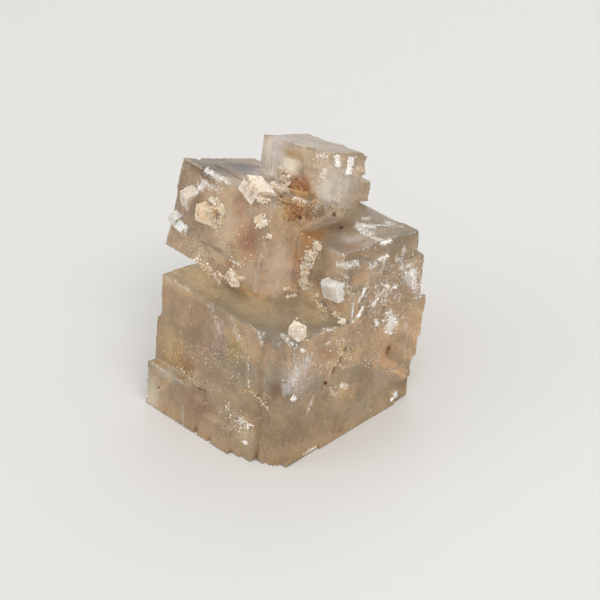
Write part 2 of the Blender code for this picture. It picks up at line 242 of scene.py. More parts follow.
class Graph:
    """Adds and joins the nodes of one material or node group."""

    def __init__(self, tree: bpy.types.NodeTree) -> None:
        self.tree = tree

    def node(self, kind: str, **settings: object) -> Node:
        """Adds a node and sets its properties."""
        made = self.tree.nodes.new(kind)
        for name, value in settings.items():
            setattr(made, name, value)
        return made

    def feed(self, socket: Socket, value: object) -> None:
        """Links a socket, or sets the constant of an input."""
        if isinstance(value, Socket):
            self.tree.links.new(value, socket)
        elif isinstance(value, tuple) and len(value) == 3 and socket.type == "RGBA":
            socket.default_value = (*value, 1.0)
        else:
            socket.default_value = value

    def set(self, node: Node, **values: object) -> None:
        """Links or sets inputs of a node by name, with _ for each space."""
        for name, value in values.items():
            self.feed(node.inputs[name.replace("_", " ")], value)

    def math(self, operation: str, *values: object) -> Socket:
        """One sum on numbers."""
        made = self.node("ShaderNodeMath", operation=operation)
        for socket, value in zip(made.inputs, values):
            self.feed(socket, value)
        return made.outputs[0]

    def mix(self, factor: object, first: object, second: object, blend: str = "MIX") -> Socket:
        """A mixture of two colours."""
        made = self.node("ShaderNodeMix", data_type="RGBA", blend_type=blend, clamp_factor=True)
        self.feed(made.inputs[0], factor)
        self.feed(made.inputs[6], first)
        self.feed(made.inputs[7], second)
        return made.outputs[2]

    def span(
        self, value: object, low: float, high: float, to_low: float = 0.0, to_high: float = 1.0
    ) -> Socket:
        """A number brought smoothly from one range to another."""
        made = self.node("ShaderNodeMapRange", interpolation_type="SMOOTHSTEP")
        self.set(made, Value=value, From_Min=low, From_Max=high, To_Min=to_low, To_Max=to_high)
        return made.outputs[0]

    def noise(self, vector: object, scale: float, detail: float = 3.0, roughness: float = 0.55) -> Socket:
        """A cloudy pattern from 0 to 1."""
        made = self.node("ShaderNodeTexNoise", noise_dimensions="3D")
        self.set(made, Vector=vector, Scale=scale, Detail=detail, Roughness=roughness)
        return made.outputs["Fac"]

    def stretched(self, vector: object, scale: Triple, degrees: Triple = (0.0, 0.0, 0.0)) -> Socket:
        """A vector that is turned and then stretched."""
        made = self.node("ShaderNodeMapping", vector_type="POINT")
        radians = [math.radians(angle) for angle in degrees]
        self.set(made, Vector=vector, Rotation=radians, Scale=scale)
        return made.outputs[0]

    def group(self, tree: bpy.types.NodeTree, **values: object) -> Node:
        """Places a node group and sets its inputs."""
        made = self.node("ShaderNodeGroup", node_tree=tree)
        self.set(made, **values)
        return made


def new_group(name: str, inputs: dict[str, str], outputs: dict[str, str]) -> tuple[Graph, Node, Node]:
    """Starts a shader node group.

    Args:
        name: the group's name.
        inputs: socket names with Float, Color or Vector.
        outputs: socket names with Float, Color or Vector.

    Returns:
        The graph, its input node and its output node.
    """
    tree = bpy.data.node_groups.new(name, "ShaderNodeTree")
    for names, way in ((inputs, "INPUT"), (outputs, "OUTPUT")):
        for socket, kind in names.items():
            tree.interface.new_socket(name=socket, in_out=way, socket_type=f"NodeSocket{kind}")
    graph = Graph(tree)
    return graph, graph.node("NodeGroupInput"), graph.node("NodeGroupOutput")


def lattice_place_group() -> bpy.types.NodeTree:
    """Gives the place on a piece in the lattice frame, in units of EDGE."""
    graph, _, out = new_group("lattice_place", {}, {"Place": "Vector"})
    place = graph.node("ShaderNodeTexCoord").outputs["Object"]
    mapping = graph.node("ShaderNodeMapping", vector_type="TEXTURE")
    lean = (-math.radians(BASE_LEAN), 0.0, 0.0)
    graph.set(mapping, Vector=place, Location=LATTICE_ORIGIN, Rotation=lean, Scale=(EDGE, EDGE, EDGE))
    graph.set(out, Place=mapping.outputs[0])
    return graph.tree


def cloud_group() -> bpy.types.NodeTree:
    """Clouds a colour, lighter and darker, warmer and cooler.

    Depth is how strong the clouds are, and Warm is the tint of the warm ones.
    """
    sockets = {"Place": "Vector", "Colour": "Color", "Warm": "Color", "Depth": "Float"}
    graph, given, out = new_group("cloud", sockets, {"Colour": "Color"})
    place, depth = given.outputs["Place"], given.outputs["Depth"]
    low, high = 0.32, 0.68  # nearly all of the noise lies between these
    wide = graph.span(graph.noise(place, scale=6.0, detail=2.0, roughness=0.5), low, high, -0.15, 0.15)
    fine = graph.span(graph.noise(place, scale=21.0, detail=4.0, roughness=0.6), low, high, -0.09, 0.09)
    crumbs = graph.noise(graph.stretched(place, (80.0, 80.0, 45.0)), scale=1.0)
    crumbs = graph.span(crumbs, low, high, -0.10, 0.10)
    amount = graph.math("ADD", graph.math("ADD", wide, fine), crumbs)
    amount = graph.math("MULTIPLY_ADD", amount, depth, 1.0)
    shade = graph.node("ShaderNodeVectorMath", operation="SCALE")
    graph.feed(shade.inputs[0], given.outputs["Colour"])
    graph.set(shade, Scale=amount)
    warm_spots = graph.span(graph.noise(place, scale=9.0, roughness=0.5), low=0.44, high=0.66)
    warmth = graph.math("MULTIPLY", warm_spots, depth)
    graph.set(out, Colour=graph.mix(warmth, shade.outputs[0], given.outputs["Warm"], "MULTIPLY"))
    return graph.tree


def growth_lines_group() -> bpy.types.NodeTree:
    """Fine upright and level lines, as on a face that grew in thin layers."""
    graph, given, out = new_group("growth_lines", {"Place": "Vector"}, {"Height": "Float", "Line": "Float"})
    place = given.outputs["Place"]
    upright = graph.noise(graph.stretched(place, (70.0, 70.0, 5.0)), scale=1.0, detail=2.0)
    level = graph.noise(graph.stretched(place, (6.0, 6.0, 60.0)), scale=1.0, detail=2.0)
    level_share = 0.4
    height = graph.math("MULTIPLY_ADD", level, level_share, upright)
    graph.set(out, Height=height, Line=graph.span(upright, low=0.54, high=0.72))
    return graph.tree


def frost_group() -> bpy.types.NodeTree:
    """Breaks a soft amount of frost into feathers that run one way.

    The mask is 1 on frosted spots, and the height is their grain.
    """
    sockets = {"Place": "Vector", "Amount": "Float"}
    graph, given, out = new_group("frost", sockets, {"Mask": "Float", "Height": "Float"})
    place = given.outputs["Place"]
    along_feathers = graph.stretched(place, (60.0, 60.0, 13.0), FEATHERS)
    feather = graph.noise(along_feathers, scale=1.0, detail=4.0, roughness=0.65)
    grain = graph.noise(place, scale=85.0, detail=4.0, roughness=0.75)
    feather_share, bare_need, need_fall = 0.6, 0.74, -0.34
    feathery = graph.math("MULTIPLY", feather, feather_share)
    mixed = graph.math("ADD", feathery, graph.math("MULTIPLY", grain, 1 - feather_share))
    need = graph.math("MULTIPLY_ADD", given.outputs["Amount"], need_fall, bare_need)
    mask = graph.span(graph.math("SUBTRACT", mixed, need), low=-0.03, high=0.10)
    graph.set(out, Mask=mask, Height=graph.math("MULTIPLY", mask, grain))
    return graph.tree


def grain_tone_group() -> bpy.types.NodeTree:
    """Gives each grain a tone between two colours, clouded inside the grain."""
    sockets = {"Place": "Vector", "Light": "Color", "Deep": "Color", "Share": "Float"}
    graph, given, out = new_group("grain_tone", sockets, {"Colour": "Color", "Height": "Float"})
    place = given.outputs["Place"]
    own = graph.node("ShaderNodeAttribute", attribute_name="grain").outputs["Fac"]
    spots = graph.noise(place, scale=60.0, roughness=0.6)
    spot_share = 0.7
    value = graph.math("ADD", own, graph.math("MULTIPLY_ADD", spots, spot_share, -spot_share / 2))
    factor = graph.span(graph.math("ADD", value, given.outputs["Share"]), low=0.55, high=1.45)
    graph.set(out, Colour=graph.mix(factor, given.outputs["Light"], given.outputs["Deep"]))
    graph.set(out, Height=graph.noise(place, scale=240.0, roughness=0.6))
    return graph.tree


class Groups:
    """The node groups, each built once."""

    def __init__(self) -> None:
        self.place = lattice_place_group()
        self.cloud = cloud_group()
        self.lines = growth_lines_group()
        self.frost = frost_group()
        self.tone = grain_tone_group()


# ---------------------------------------------------------------- finishes


def principled(name: str) -> tuple[bpy.types.Material, Graph, Node, Node]:
    """A new material with its Principled shader and its output node."""
    material = bpy.data.materials.new(name)
    material.use_nodes = True
    graph = Graph(material.node_tree)
    nodes = material.node_tree.nodes
    return material, graph, nodes["Principled BSDF"], nodes["Material Output"]


@dataclass(frozen=True)
class CloudyHalite:
    """See-through tan halite: painted haze with some painted light on the top, the foot and the outer edges,
    growth lines, frost, and plain glass values.
    """

    name: str = "cloudy_halite"
    transmission: float = 0.68
    refraction: float = 1.544
    absorbed: Colour = (0.80, 0.64, 0.42)
    density: float = 20.0
    gloss_roughness: float = 0.20
    frosted_roughness: float = 0.40
    relief: float = 0.22
    coat: float = 0.8
    coat_refraction: float = 2.4
    frost_colour: Colour = seen(0xF8F4EE)
    rust_colour: Colour = seen(0xA46024)
    line_share: float = 0.12
    rust_share: float = 0.75
    frost_share: float = 0.80

    def material(self, groups: Groups) -> bpy.types.Material:
        """Builds the material.

        Args:
            groups: the shared node groups.

        Returns:
            The material for the body.
        """
        material, graph, shader, output = principled(self.name)
        place = graph.group(groups.place).outputs["Place"]
        haze = graph.node("ShaderNodeVertexColor", layer_name="haze").outputs["Color"]
        frosted = graph.node("ShaderNodeAttribute", attribute_name="frosted").outputs["Fac"]
        rusty = graph.node("ShaderNodeAttribute", attribute_name="rusty").outputs["Fac"]
        cloud = graph.group(groups.cloud, Place=place, Colour=haze, Warm=(1.0, 0.96, 0.90), Depth=0.95)
        lines = graph.group(groups.lines, Place=place)
        patches = graph.noise(place, scale=4.0, detail=2.0)
        patchy = graph.span(patches, low=0.40, high=0.65, to_low=0.20, to_high=0.46)
        frost = graph.group(groups.frost, Place=place, Amount=graph.math("MAXIMUM", frosted, patchy))
        other_way = graph.stretched(place, (1.0, 1.0, 1.0), (20, 35, 50))
        specks = graph.group(groups.frost, Place=other_way, Amount=rusty)
        mask = frost.outputs["Mask"]
        colour = cloud.outputs["Colour"]
        for share, spots, tint in (
            (self.line_share, lines.outputs["Line"], self.frost_colour),
            (self.rust_share, specks.outputs["Mask"], self.rust_colour),
            (self.frost_share, mask, self.frost_colour),
        ):
            colour = graph.mix(graph.math("MULTIPLY", spots, share), colour, tint)
        uneven = 0.14
        gloss = self.gloss_roughness - uneven / 2
        roughness = graph.math("MULTIPLY_ADD", graph.noise(place, scale=30.0), uneven, gloss)
        roughness = graph.math("MULTIPLY_ADD", mask, self.frosted_roughness, roughness)
        bump = graph.node("ShaderNodeBump")
        height = graph.math("MULTIPLY_ADD", frost.outputs["Height"], 1.5, lines.outputs["Height"])
        graph.set(bump, Height=height, Strength=self.relief, Distance=0.10 * MM)
        graph.set(
            shader,
            Base_Color=colour,
            Roughness=roughness,
            Normal=bump.outputs[0],
            Coat_Weight=graph.math("MULTIPLY", mask, self.coat),
            Coat_Roughness=0.8,
            Coat_IOR=self.coat_refraction,
            Transmission_Weight=self.transmission,
            IOR=self.refraction,
            Metallic=0.0,
        )
        inside = graph.node("ShaderNodeVolumeAbsorption")
        graph.set(inside, Color=self.absorbed, Density=self.density)
        graph.set(output, Volume=inside.outputs[0])
        return material


@dataclass(frozen=True)
class MilkyHalite:
    """Small crystals clouded with fluid: pale, lit from within, with crumbly spots.

    Attributes:
        light: the colour of the clean parts.
        deep: the colour of the stained parts.
        share: how much of it is stained, from 0 to 1.
        glow: share of light that scatters below the surface.
        roughness: how rough it is, on average.
        clear: share of light that passes through.
        scatter_mm: how far light scatters inside, in millimetres.
        relief: how strong its fine relief is.
    """

    name: str
    light: Colour
    deep: Colour
    share: float = 0.35
    glow: float = 0.45
    roughness: float = 0.32
    clear: float = 0.0
    scatter_mm: float = 1.6
    relief: float = 0.35

    def material(self, groups: Groups) -> bpy.types.Material:
        """Builds the material from the shared groups."""
        material, graph, shader, _ = principled(self.name)
        place = graph.group(groups.place).outputs["Place"]
        tone = graph.group(groups.tone, Place=place, Light=self.light, Deep=self.deep, Share=self.share)
        finer = graph.stretched(place, (3.0, 3.0, 3.0))
        tint = tone.outputs["Colour"]
        cloud = graph.group(groups.cloud, Place=finer, Colour=tint, Warm=(1.0, 0.95, 0.88), Depth=0.6)
        uneven = 0.3
        least = self.roughness - uneven / 2
        roughness = graph.math("MULTIPLY_ADD", graph.noise(place, scale=90.0), uneven, least)
        bump = graph.node("ShaderNodeBump")
        graph.set(bump, Height=tone.outputs["Height"], Strength=self.relief, Distance=0.08 * MM)
        graph.set(
            shader,
            Base_Color=cloud.outputs["Colour"],
            Roughness=roughness,
            Normal=bump.outputs[0],
            IOR=1.544,
            Transmission_Weight=self.clear,
            Subsurface_Weight=self.glow,
            Subsurface_Radius=(1.0, 0.8, 0.6),
            Subsurface_Scale=self.scatter_mm * MM,
        )
        return material


CREAM = MilkyHalite("cream_crystal", seen(0xF8E8D6), seen(0xE2C6A4), 0.35, glow=0.35, clear=0.15)
PEACH = MilkyHalite("peach_crystal", seen(0xF2DCC2), seen(0xE6BE88), 0.40, glow=0.35, clear=0.18)
STAINED = replace(PEACH, name="stained_crystal", light=seen(0xCFA26C), deep=seen(0xA4703A), clear=0.25)
PLATE = replace(PEACH, name="plate_crystal", light=seen(0xF8ECDC), deep=seen(0xE4CCB0), clear=0.30)
GLASSY = MilkyHalite("glassy_crystal", seen(0xFFFDF8), seen(0xF0E6D6), 0.35, clear=0.25, roughness=0.22)
MURKY = replace(GLASSY, name="murky_crystal", light=seen(0xFFFBF4), deep=seen(0xE0D4C4), share=0.45)
SUGAR = MilkyHalite("sugar_crust", seen(0xFDF4E4), seen(0xE6C8A0), 0.35, glow=0.3)
FROST = MilkyHalite("white_frost_and_glints", seen(0xFDFBF8), seen(0xE2DCD4), 0.25, glow=0.0, roughness=0.28)
EDGE_FROST_AND_HIGHLIGHT = replace(FROST, name="edge_frost_and_highlight", light=seen(0xF8F0E4), deep=seen(0xE0CCB0))
GOLDEN = MilkyHalite("golden_crust", seen(0xF0E4C6), seen(0xD4B684), 0.40, glow=0.3)
RUST = MilkyHalite("rust_druse", seen(0xE0B478), seen(0x9A6028), 0.50, glow=0.35, roughness=0.25)
UMBER_AND_CREASE_SHADE = MilkyHalite("umber_specks_and_crease_shade", seen(0x7A5230), seen(0x3A2616), 0.50, glow=0.0, roughness=0.5)
VEIL = MilkyHalite("inner_veil", seen(0xFCF8F2), seen(0xECE0D4), 0.30, glow=0.0, roughness=0.5)


# ---------------------------------------------------------------- making meshes


def link_piece(name: str, mesh: bpy.types.Mesh, material: bpy.types.Material) -> bpy.types.Object:
    """Adds a finished mesh to the scene as a piece that rides on the cluster.

    Args:
        name: the piece's name.
        mesh: its mesh, in world places.
        material: its only material.

    Returns:
        The new object.
    """
    mesh.materials.clear()
    mesh.materials.append(material)
    piece = bpy.data.objects.new(name, mesh)
    bpy.context.scene.collection.objects.link(piece)
    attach(piece, BODY)
    LOG.info("%s: %d faces", name, len(mesh.polygons))
    return piece


def halve_long_edges(shape: bmesh.types.BMesh, longest: float, rounds: int) -> None:
    """Cuts the long edges of a mesh of triangles in half until none is too long.

    Args:
        shape: the mesh, which is changed.
        longest: the longest edge to leave, in millimetres.
        rounds: how often the edges are cut at most.
    """
    for _ in range(rounds):
        long = [edge for edge in shape.edges if edge.calc_length() > longest * MM]
        if not long:
            break
        bmesh.ops.subdivide_edges(shape, edges=long, cuts=1)
        bmesh.ops.triangulate(shape, faces=[face for face in shape.faces if len(face.verts) > 3])


def store_numbers(mesh: bpy.types.Mesh, name: str, values: Sequence[float] | np.ndarray) -> None:
    """Stores one number for each point of a mesh, for its material to read."""
    layer = mesh.attributes.new(name, "FLOAT", "POINT")
    layer.data.foreach_set("value", np.array(values, np.float32))


@dataclass(frozen=True)
class Grain:
    """The form of one grain: its points in a unit cube, and its faces."""

    points: np.ndarray
    faces: tuple[tuple[int, ...], ...]


CUBE_POINTS = np.array([(x, y, z) for x in (-0.5, 0.5) for y in (-0.5, 0.5) for z in (-0.5, 0.5)])
CUBE_FACES = ((0, 1, 3, 2), (4, 6, 7, 5), (0, 4, 5, 1), (2, 3, 7, 6), (0, 2, 6, 4), (1, 5, 7, 3))
BLOCK = Grain(CUBE_POINTS, CUBE_FACES)
SHARD = Grain(CUBE_POINTS[[0, 3, 5, 6]], ((0, 2, 1), (0, 1, 3), (0, 3, 2), (1, 2, 3)))


class GrainHeap:
    """Many small grains in one mesh, each with a tone of its own, all inside the solid's box."""

    def __init__(self, seed: int) -> None:
        self.draw = random.Random(seed)
        self.low, self.high = (np.array(corner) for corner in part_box(NODE))
        self.points: list[np.ndarray] = []
        self.faces: list[tuple[int, ...]] = []
        self.tones: list[float] = []

    def add(
        self, grain: Grain, centre: Vector, turn: Matrix, size: Sequence[float], uneven: float = 0.10
    ) -> None:
        """Adds one grain.

        Args:
            grain: its form.
            centre: its middle, in the world.
            turn: its rotation.
            size: its three sides, in millimetres.
            uneven: how far its corners stray, as a share of its sides.
        """
        count = len(grain.points)
        stray = np.array([self.draw.uniform(-uneven, uneven) for _ in range(3 * count)]).reshape(count, 3)
        local = (grain.points + stray) * np.array(size) * MM
        placed = local @ np.array(turn).T + np.array(centre)
        if (placed < self.low).any() or (placed > self.high).any():
            return
        first = len(self.tones)
        self.points.append(placed)
        self.faces.extend(tuple(first + corner for corner in face) for face in grain.faces)
        self.tones.extend([self.draw.random()] * count)

    def sit(
        self, grain: Grain, foot: Foothold, size: Sequence[float], spin: float, tilt: float,
        sunk: float = 0.35,
    ) -> None:
        """Adds one grain that sits on a face.

        Args:
            grain: its form.
            foot: where it sits.
            size: two sides along the face and its height, in millimetres.
            spin: degrees of turn about the face's normal.
            tilt: most degrees of lean.
            sunk: share of its height that is below the face.
        """
        lean = [math.radians(self.draw.uniform(-tilt, tilt)) for _ in range(2)]
        turn = foot.turn() @ Euler((lean[0], lean[1], math.radians(spin))).to_matrix()
        centre = foot.point + foot.normal * (size[2] * MM * (0.5 - sunk))
        self.add(grain, centre, turn, size)

    def build(self, name: str, material: bpy.types.Material) -> bpy.types.Object | None:
        """Makes the piece from all grains, or nothing if there are none."""
        if not self.points:
            return None
        mesh = bpy.data.meshes.new(name)
        mesh.from_pydata(np.concatenate(self.points).tolist(), [], self.faces)
        store_numbers(mesh, "grain", self.tones)
        mesh.update()
        return link_piece(name, mesh, material)


class Habit(Enum):
    """How the grains of a patch have grown."""

    CUBES = "cubes"
    FLAKES = "flakes"
    SLIVERS = "slivers"


@dataclass(frozen=True)
class Stroke:
    """A band of grains, laid out by points of the picture.

    Attributes:
        line: the middle of the band, in points of the picture.
        width: its width there.
        count: how many grains.
        size: smallest and largest side, in millimetres.
        habit: the form of the grains.
    """

    line: tuple[Pixel, ...]
    width: float
    count: int
    size: Span = (0.15, 0.45)
    habit: Habit = Habit.CUBES

    def spot(self, draw: random.Random) -> tuple[Pixel, Pixel]:
        """A random point of the band, and the direction of the band there."""
        lengths = [math.dist(first, second) for first, second in zip(self.line, self.line[1:])]
        if not lengths:
            across, down = self.line[0]
            stray = self.width / 2.5
            return (across + draw.gauss(0, stray), down + draw.gauss(0, stray)), (1.0, 0.0)
        number = draw.choices(range(len(lengths)), lengths)[0]
        (ax, ay), (bx, by) = self.line[number], self.line[number + 1]
        share = draw.random()
        way = ((bx - ax) / lengths[number], (by - ay) / lengths[number])
        off = draw.gauss(0, self.width / 3.2)
        return (ax + share * (bx - ax) - off * way[1], ay + share * (by - ay) + off * way[0]), way


def lay_grain(heap: GrainHeap, foot: Foothold, size: Span, habit: Habit, spin: float) -> None:
    """Sets one grain on a face.

    Args:
        heap: takes the grain.
        foot: where it sits.
        size: smallest and largest side, in millimetres.
        habit: its form.
        spin: degrees of turn about the face's normal.
    """
    draw = heap.draw
    side = size[0] + (size[1] - size[0]) * draw.random() ** 2
    if habit is Habit.CUBES:
        sides = (side, side * draw.uniform(0.6, 1.3), side * draw.uniform(0.5, 1.1))
        heap.sit(BLOCK, foot, sides, draw.gauss(0, 25), 22)
    elif habit is Habit.FLAKES:
        sides = (side, side * draw.uniform(0.5, 1.0), side * draw.uniform(0.2, 0.5))
        heap.sit(SHARD, foot, sides, draw.uniform(0, 360), 20)
    else:
        sides = (side * draw.uniform(2.0, 5.0), side * draw.uniform(0.4, 0.7), side * draw.uniform(0.3, 0.5))
        heap.sit(SHARD, foot, sides, spin + draw.gauss(0, 10), 8)


def lay_stroke(heap: GrainHeap, skin: Skin, stroke: Stroke) -> None:
    """Lays the grains of one stroke on the faces that show there.

    Args:
        heap: takes the grains.
        skin: the faces they sit on.
        stroke: the band to fill.
    """
    for _ in range(stroke.count):
        pixel, way = stroke.spot(heap.draw)
        foot = skin.at(pixel)
        if foot is None:
            continue
        spin, step_ahead, alike = 0.0, 3, 0.9
        ahead = skin.at((pixel[0] + step_ahead * way[0], pixel[1] + step_ahead * way[1]))
        if ahead is not None and ahead.normal.dot(foot.normal) > alike:
            step = foot.turn().transposed() @ (ahead.point - foot.point)
            spin = math.degrees(math.atan2(step.y, step.x))
        lay_grain(heap, foot, stroke.size, stroke.habit, spin)


def lay_far_patches(heap: GrainHeap, skin: Skin, patches: int, size: Span, habit: Habit) -> None:
    """Lays like grains on the sides that the picture doesn't show, in loose patches.

    Args:
        heap: takes the grains.
        skin: the faces they sit on.
        patches: how many patches.
        size: smallest and largest side, in millimetres.
        habit: the form of the grains.
    """
    draw = heap.draw
    grains_per_mm, above, highest_step = 60, 2 * MM, 1.0 * MM
    for middle in skin.far_side(draw, patches):
        turn = middle.turn()
        long, narrow, spin = draw.uniform(1.0, 3.2), draw.uniform(0.3, 0.9), draw.choice((0.0, 35.0, 90.0))
        along = turn @ rotation((0.0, 0.0, spin))
        for _ in range(int(grains_per_mm * long)):
            off = along @ Vector((draw.gauss(0, long), draw.gauss(0, narrow), 0.0)) * MM
            foot = skin.along(middle.point + off + above * middle.normal, -middle.normal)
            if foot is not None and (foot.point - middle.point - off).length < highest_step:
                lay_grain(heap, foot, size, habit, spin)


# ---------------------------------------------------------------- the body


TAN = seen(0xAC967A)

# Zones of the body with a colour of their own, and on the main cube's top some painted light: the point of
# the picture where the middle shows, how far the zone goes along the three lattice axes in millimetres, its
# colour, and how much of that it takes.
HAZES = (
    # the main cube, front left
    ((195, 320), (12, 3, 10), 0xA18768, 0.8),
    ((168, 340), (2.4, 4, 6), 0xBCA478, 0.8),
    ((179, 356), (2.4, 4, 3.4), 0xB09054, 0.85),
    ((188, 366), (2.6, 4, 2.0), 0xA87E4A, 0.9),
    ((205, 350), (2.4, 3, 3.4), 0xA48472, 0.85),
    ((235, 342), (2.0, 3, 4), 0xAC965E, 0.9),
    ((218, 334), (2.4, 2, 3), 0xB49C8C, 0.8),
    ((262, 345), (3.5, 3, 6), 0xAA9276, 0.7),
    ((268, 378), (1.8, 2, 3), 0xC2B498, 0.85),
    ((277, 390), (1.6, 2, 2.2), 0x8C6644, 0.85),
    ((258, 420), (5.0, 3, 4), 0xA28A6E, 0.8),
    ((151, 393), (2.8, 4, 5), 0xCEC8BC, 0.95),
    ((166, 374), (3.6, 4, 1.2), 0xC6BEB0, 0.9),
    ((196, 408), (4.6, 3, 4), 0xA28068, 0.85),
    ((243, 436), (2.8, 3, 4), 0xC0B49A, 0.85),
    ((285, 440), (3.0, 2, 3), 0xA8947A, 0.6),
    # its top, painted lighter than the faces below it: painted light where the light falls on the top, which
    # also lifts the shadow that the left crystal casts on it
    ((190, 280), (8, 6, 2), 0xDEC298, 0.95),
    ((250, 300), (8, 6, 1.5), 0xD2B488, 0.95),
    ((312, 312), (6, 4, 1.5), 0xCEB28A, 0.9),
    # its right face
    ((298, 378), (3, 4.5, 4.5), 0xBCB0A4, 0.9),
    ((330, 350), (2, 3.5, 2.0), 0x967D61, 0.8),
    ((351, 334), (2, 2.4, 1.8), 0x977D62, 0.8),
    ((348, 355), (2, 3.0, 1.4), 0xB29870, 0.7),
    ((369, 372), (2, 2.0, 2.4), 0x967E62, 0.7),
    ((392, 365), (2, 4.5, 6.0), 0x8C7A64, 0.9),
    ((403, 378), (2, 4.0, 3.0), 0x887862, 0.9),
    ((388, 350), (2, 0.9, 1.6), 0x7A542E, 0.95),
    ((385, 380), (2, 4.0, 3.0), 0xB0A28C, 0.7),
    ((360, 408), (2, 5.0, 2.5), 0xB4A692, 0.7),
    ((302, 428), (2, 5.0, 4.5), 0x9E856C, 0.8),
    ((406, 340), (2, 3.0, 6.0), 0x94846E, 0.85),
    # the shoulder
    ((325, 258), (3.4, 3, 3.4), 0x8C765C, 0.9),
    ((322, 278), (3.4, 3, 3.4), 0x907E66, 0.85),
    ((350, 250), (4, 5, 2), 0x8C7458, 0.9),
    ((342, 226), (3.0, 4, 2), 0x82664A, 0.9),
    ((402, 236), (3, 5, 2), 0x8E7E66, 0.85),
    ((372, 228), (5, 4, 1.4), 0x8E7658, 0.85),
    ((385, 282), (3, 5, 5), 0x9C8A74, 0.8),
    ((398, 304), (3, 5, 4), 0x98866E, 0.8),
    # the left crystal
    ((205, 166), (7, 7, 1.6), 0x3E2C18, 0.97),
    ((245, 168), (8, 7, 1.6), 0x342210, 0.97),
    ((190, 180), (3, 6, 4), 0xA48A6C, 0.7),
    ((242, 206), (3.2, 4, 3.4), 0x8E6344, 0.9),
    ((247, 240), (4.2, 4, 4.2), 0x966444, 0.9),
    ((238, 258), (3.0, 3, 2.5), 0xA88C66, 0.8),
    ((208, 244), (4.0, 4, 3.0), 0x968068, 0.8),
    ((222, 262), (2.5, 3, 2.0), 0xB89E7C, 0.6),
    ((280, 268), (2.6, 5, 6), 0xDCC6B6, 0.95),
    ((312, 236), (3, 3.8, 2.8), 0xC08648, 1.0),
    ((300, 256), (2, 2.2, 3.0), 0xB4885A, 0.9),
    ((290, 287), (3, 4, 1.4), 0xD4B894, 0.7),
    # the crown
    ((270, 158), (3.4, 4, 6), 0xECE4DC, 0.95),
    ((281, 146), (2.5, 4, 2.4), 0xD4C6C0, 0.9),
    ((294, 144), (3, 4, 1.6), 0xA8988E, 0.8),
    ((292, 154), (3, 1.6, 0.7), 0xA88450, 1.0),
    ((291, 165), (3, 3, 1.8), 0xEADCC8, 0.95),
    ((335, 188), (3, 6, 5), 0xDCD2C8, 0.95),
    ((322, 141), (5, 6, 1.2), 0x8A7A66, 0.8),
    ((298, 186), (3.2, 3, 2.8), 0x96581E, 1.0),
    ((297, 208), (3.0, 3, 3.0), 0xA87644, 0.95),
)

# Frosted and rusty zones of the body: a point of the picture, the reach in millimetres, the amount.
FROST_ZONES = (
    ((392, 275), 7.0, 0.54),
    ((378, 300), 6.0, 0.54),
    ((345, 345), 6.0, 0.52),
    ((318, 372), 5.0, 0.52),
    ((372, 228), 3.4, 0.62),
    ((370, 226), 2.2, 0.8),
    ((386, 242), 1.2, 1.0),
    ((390, 228), 2.0, 0.6),
    ((384, 257), 1.0, 1.0),
    ((400, 256), 1.5, 0.9),
    ((412, 280), 2.2, 1.0),
    ((418, 295), 1.6, 0.9),
    ((391, 322), 1.7, 1.0),
    ((377, 324), 1.0, 0.8),
    ((366, 283), 1.6, 0.7),
    ((375, 272), 1.6, 0.6),
    ((385, 287), 1.3, 0.8),
    ((298, 375), 2.6, 0.75),
    ((345, 268), 1.5, 0.6),
    ((218, 177), 1.6, 1.0),
    ((334, 343), 1.4, 0.6),
    ((310, 450), 1.4, 0.7),
    ((345, 366), 1.6, 0.6),
    ((292, 335), 1.4, 0.6),
)
RUST_ZONES = (
    ((299, 188), 3.6, 1.3),
    ((296, 208), 3.4, 1.2),
    ((310, 214), 2.2, 0.9),
    ((284, 200), 1.6, 0.9),
    ((388, 350), 1.0, 1.0),
    ((340, 228), 0.8, 1.0),
    ((214, 212), 1.2, 0.8),
)


def facings(vertex: bmesh.types.BMVert) -> list[Vector]:
    """The clearly different directions in which the faces round a point look."""
    found: list[Vector] = []
    for face in vertex.link_faces:
        if face.normal.length > 0.5 and all(face.normal.dot(other) < 0.97 for other in found):
            found.append(face.normal.copy())
    return found


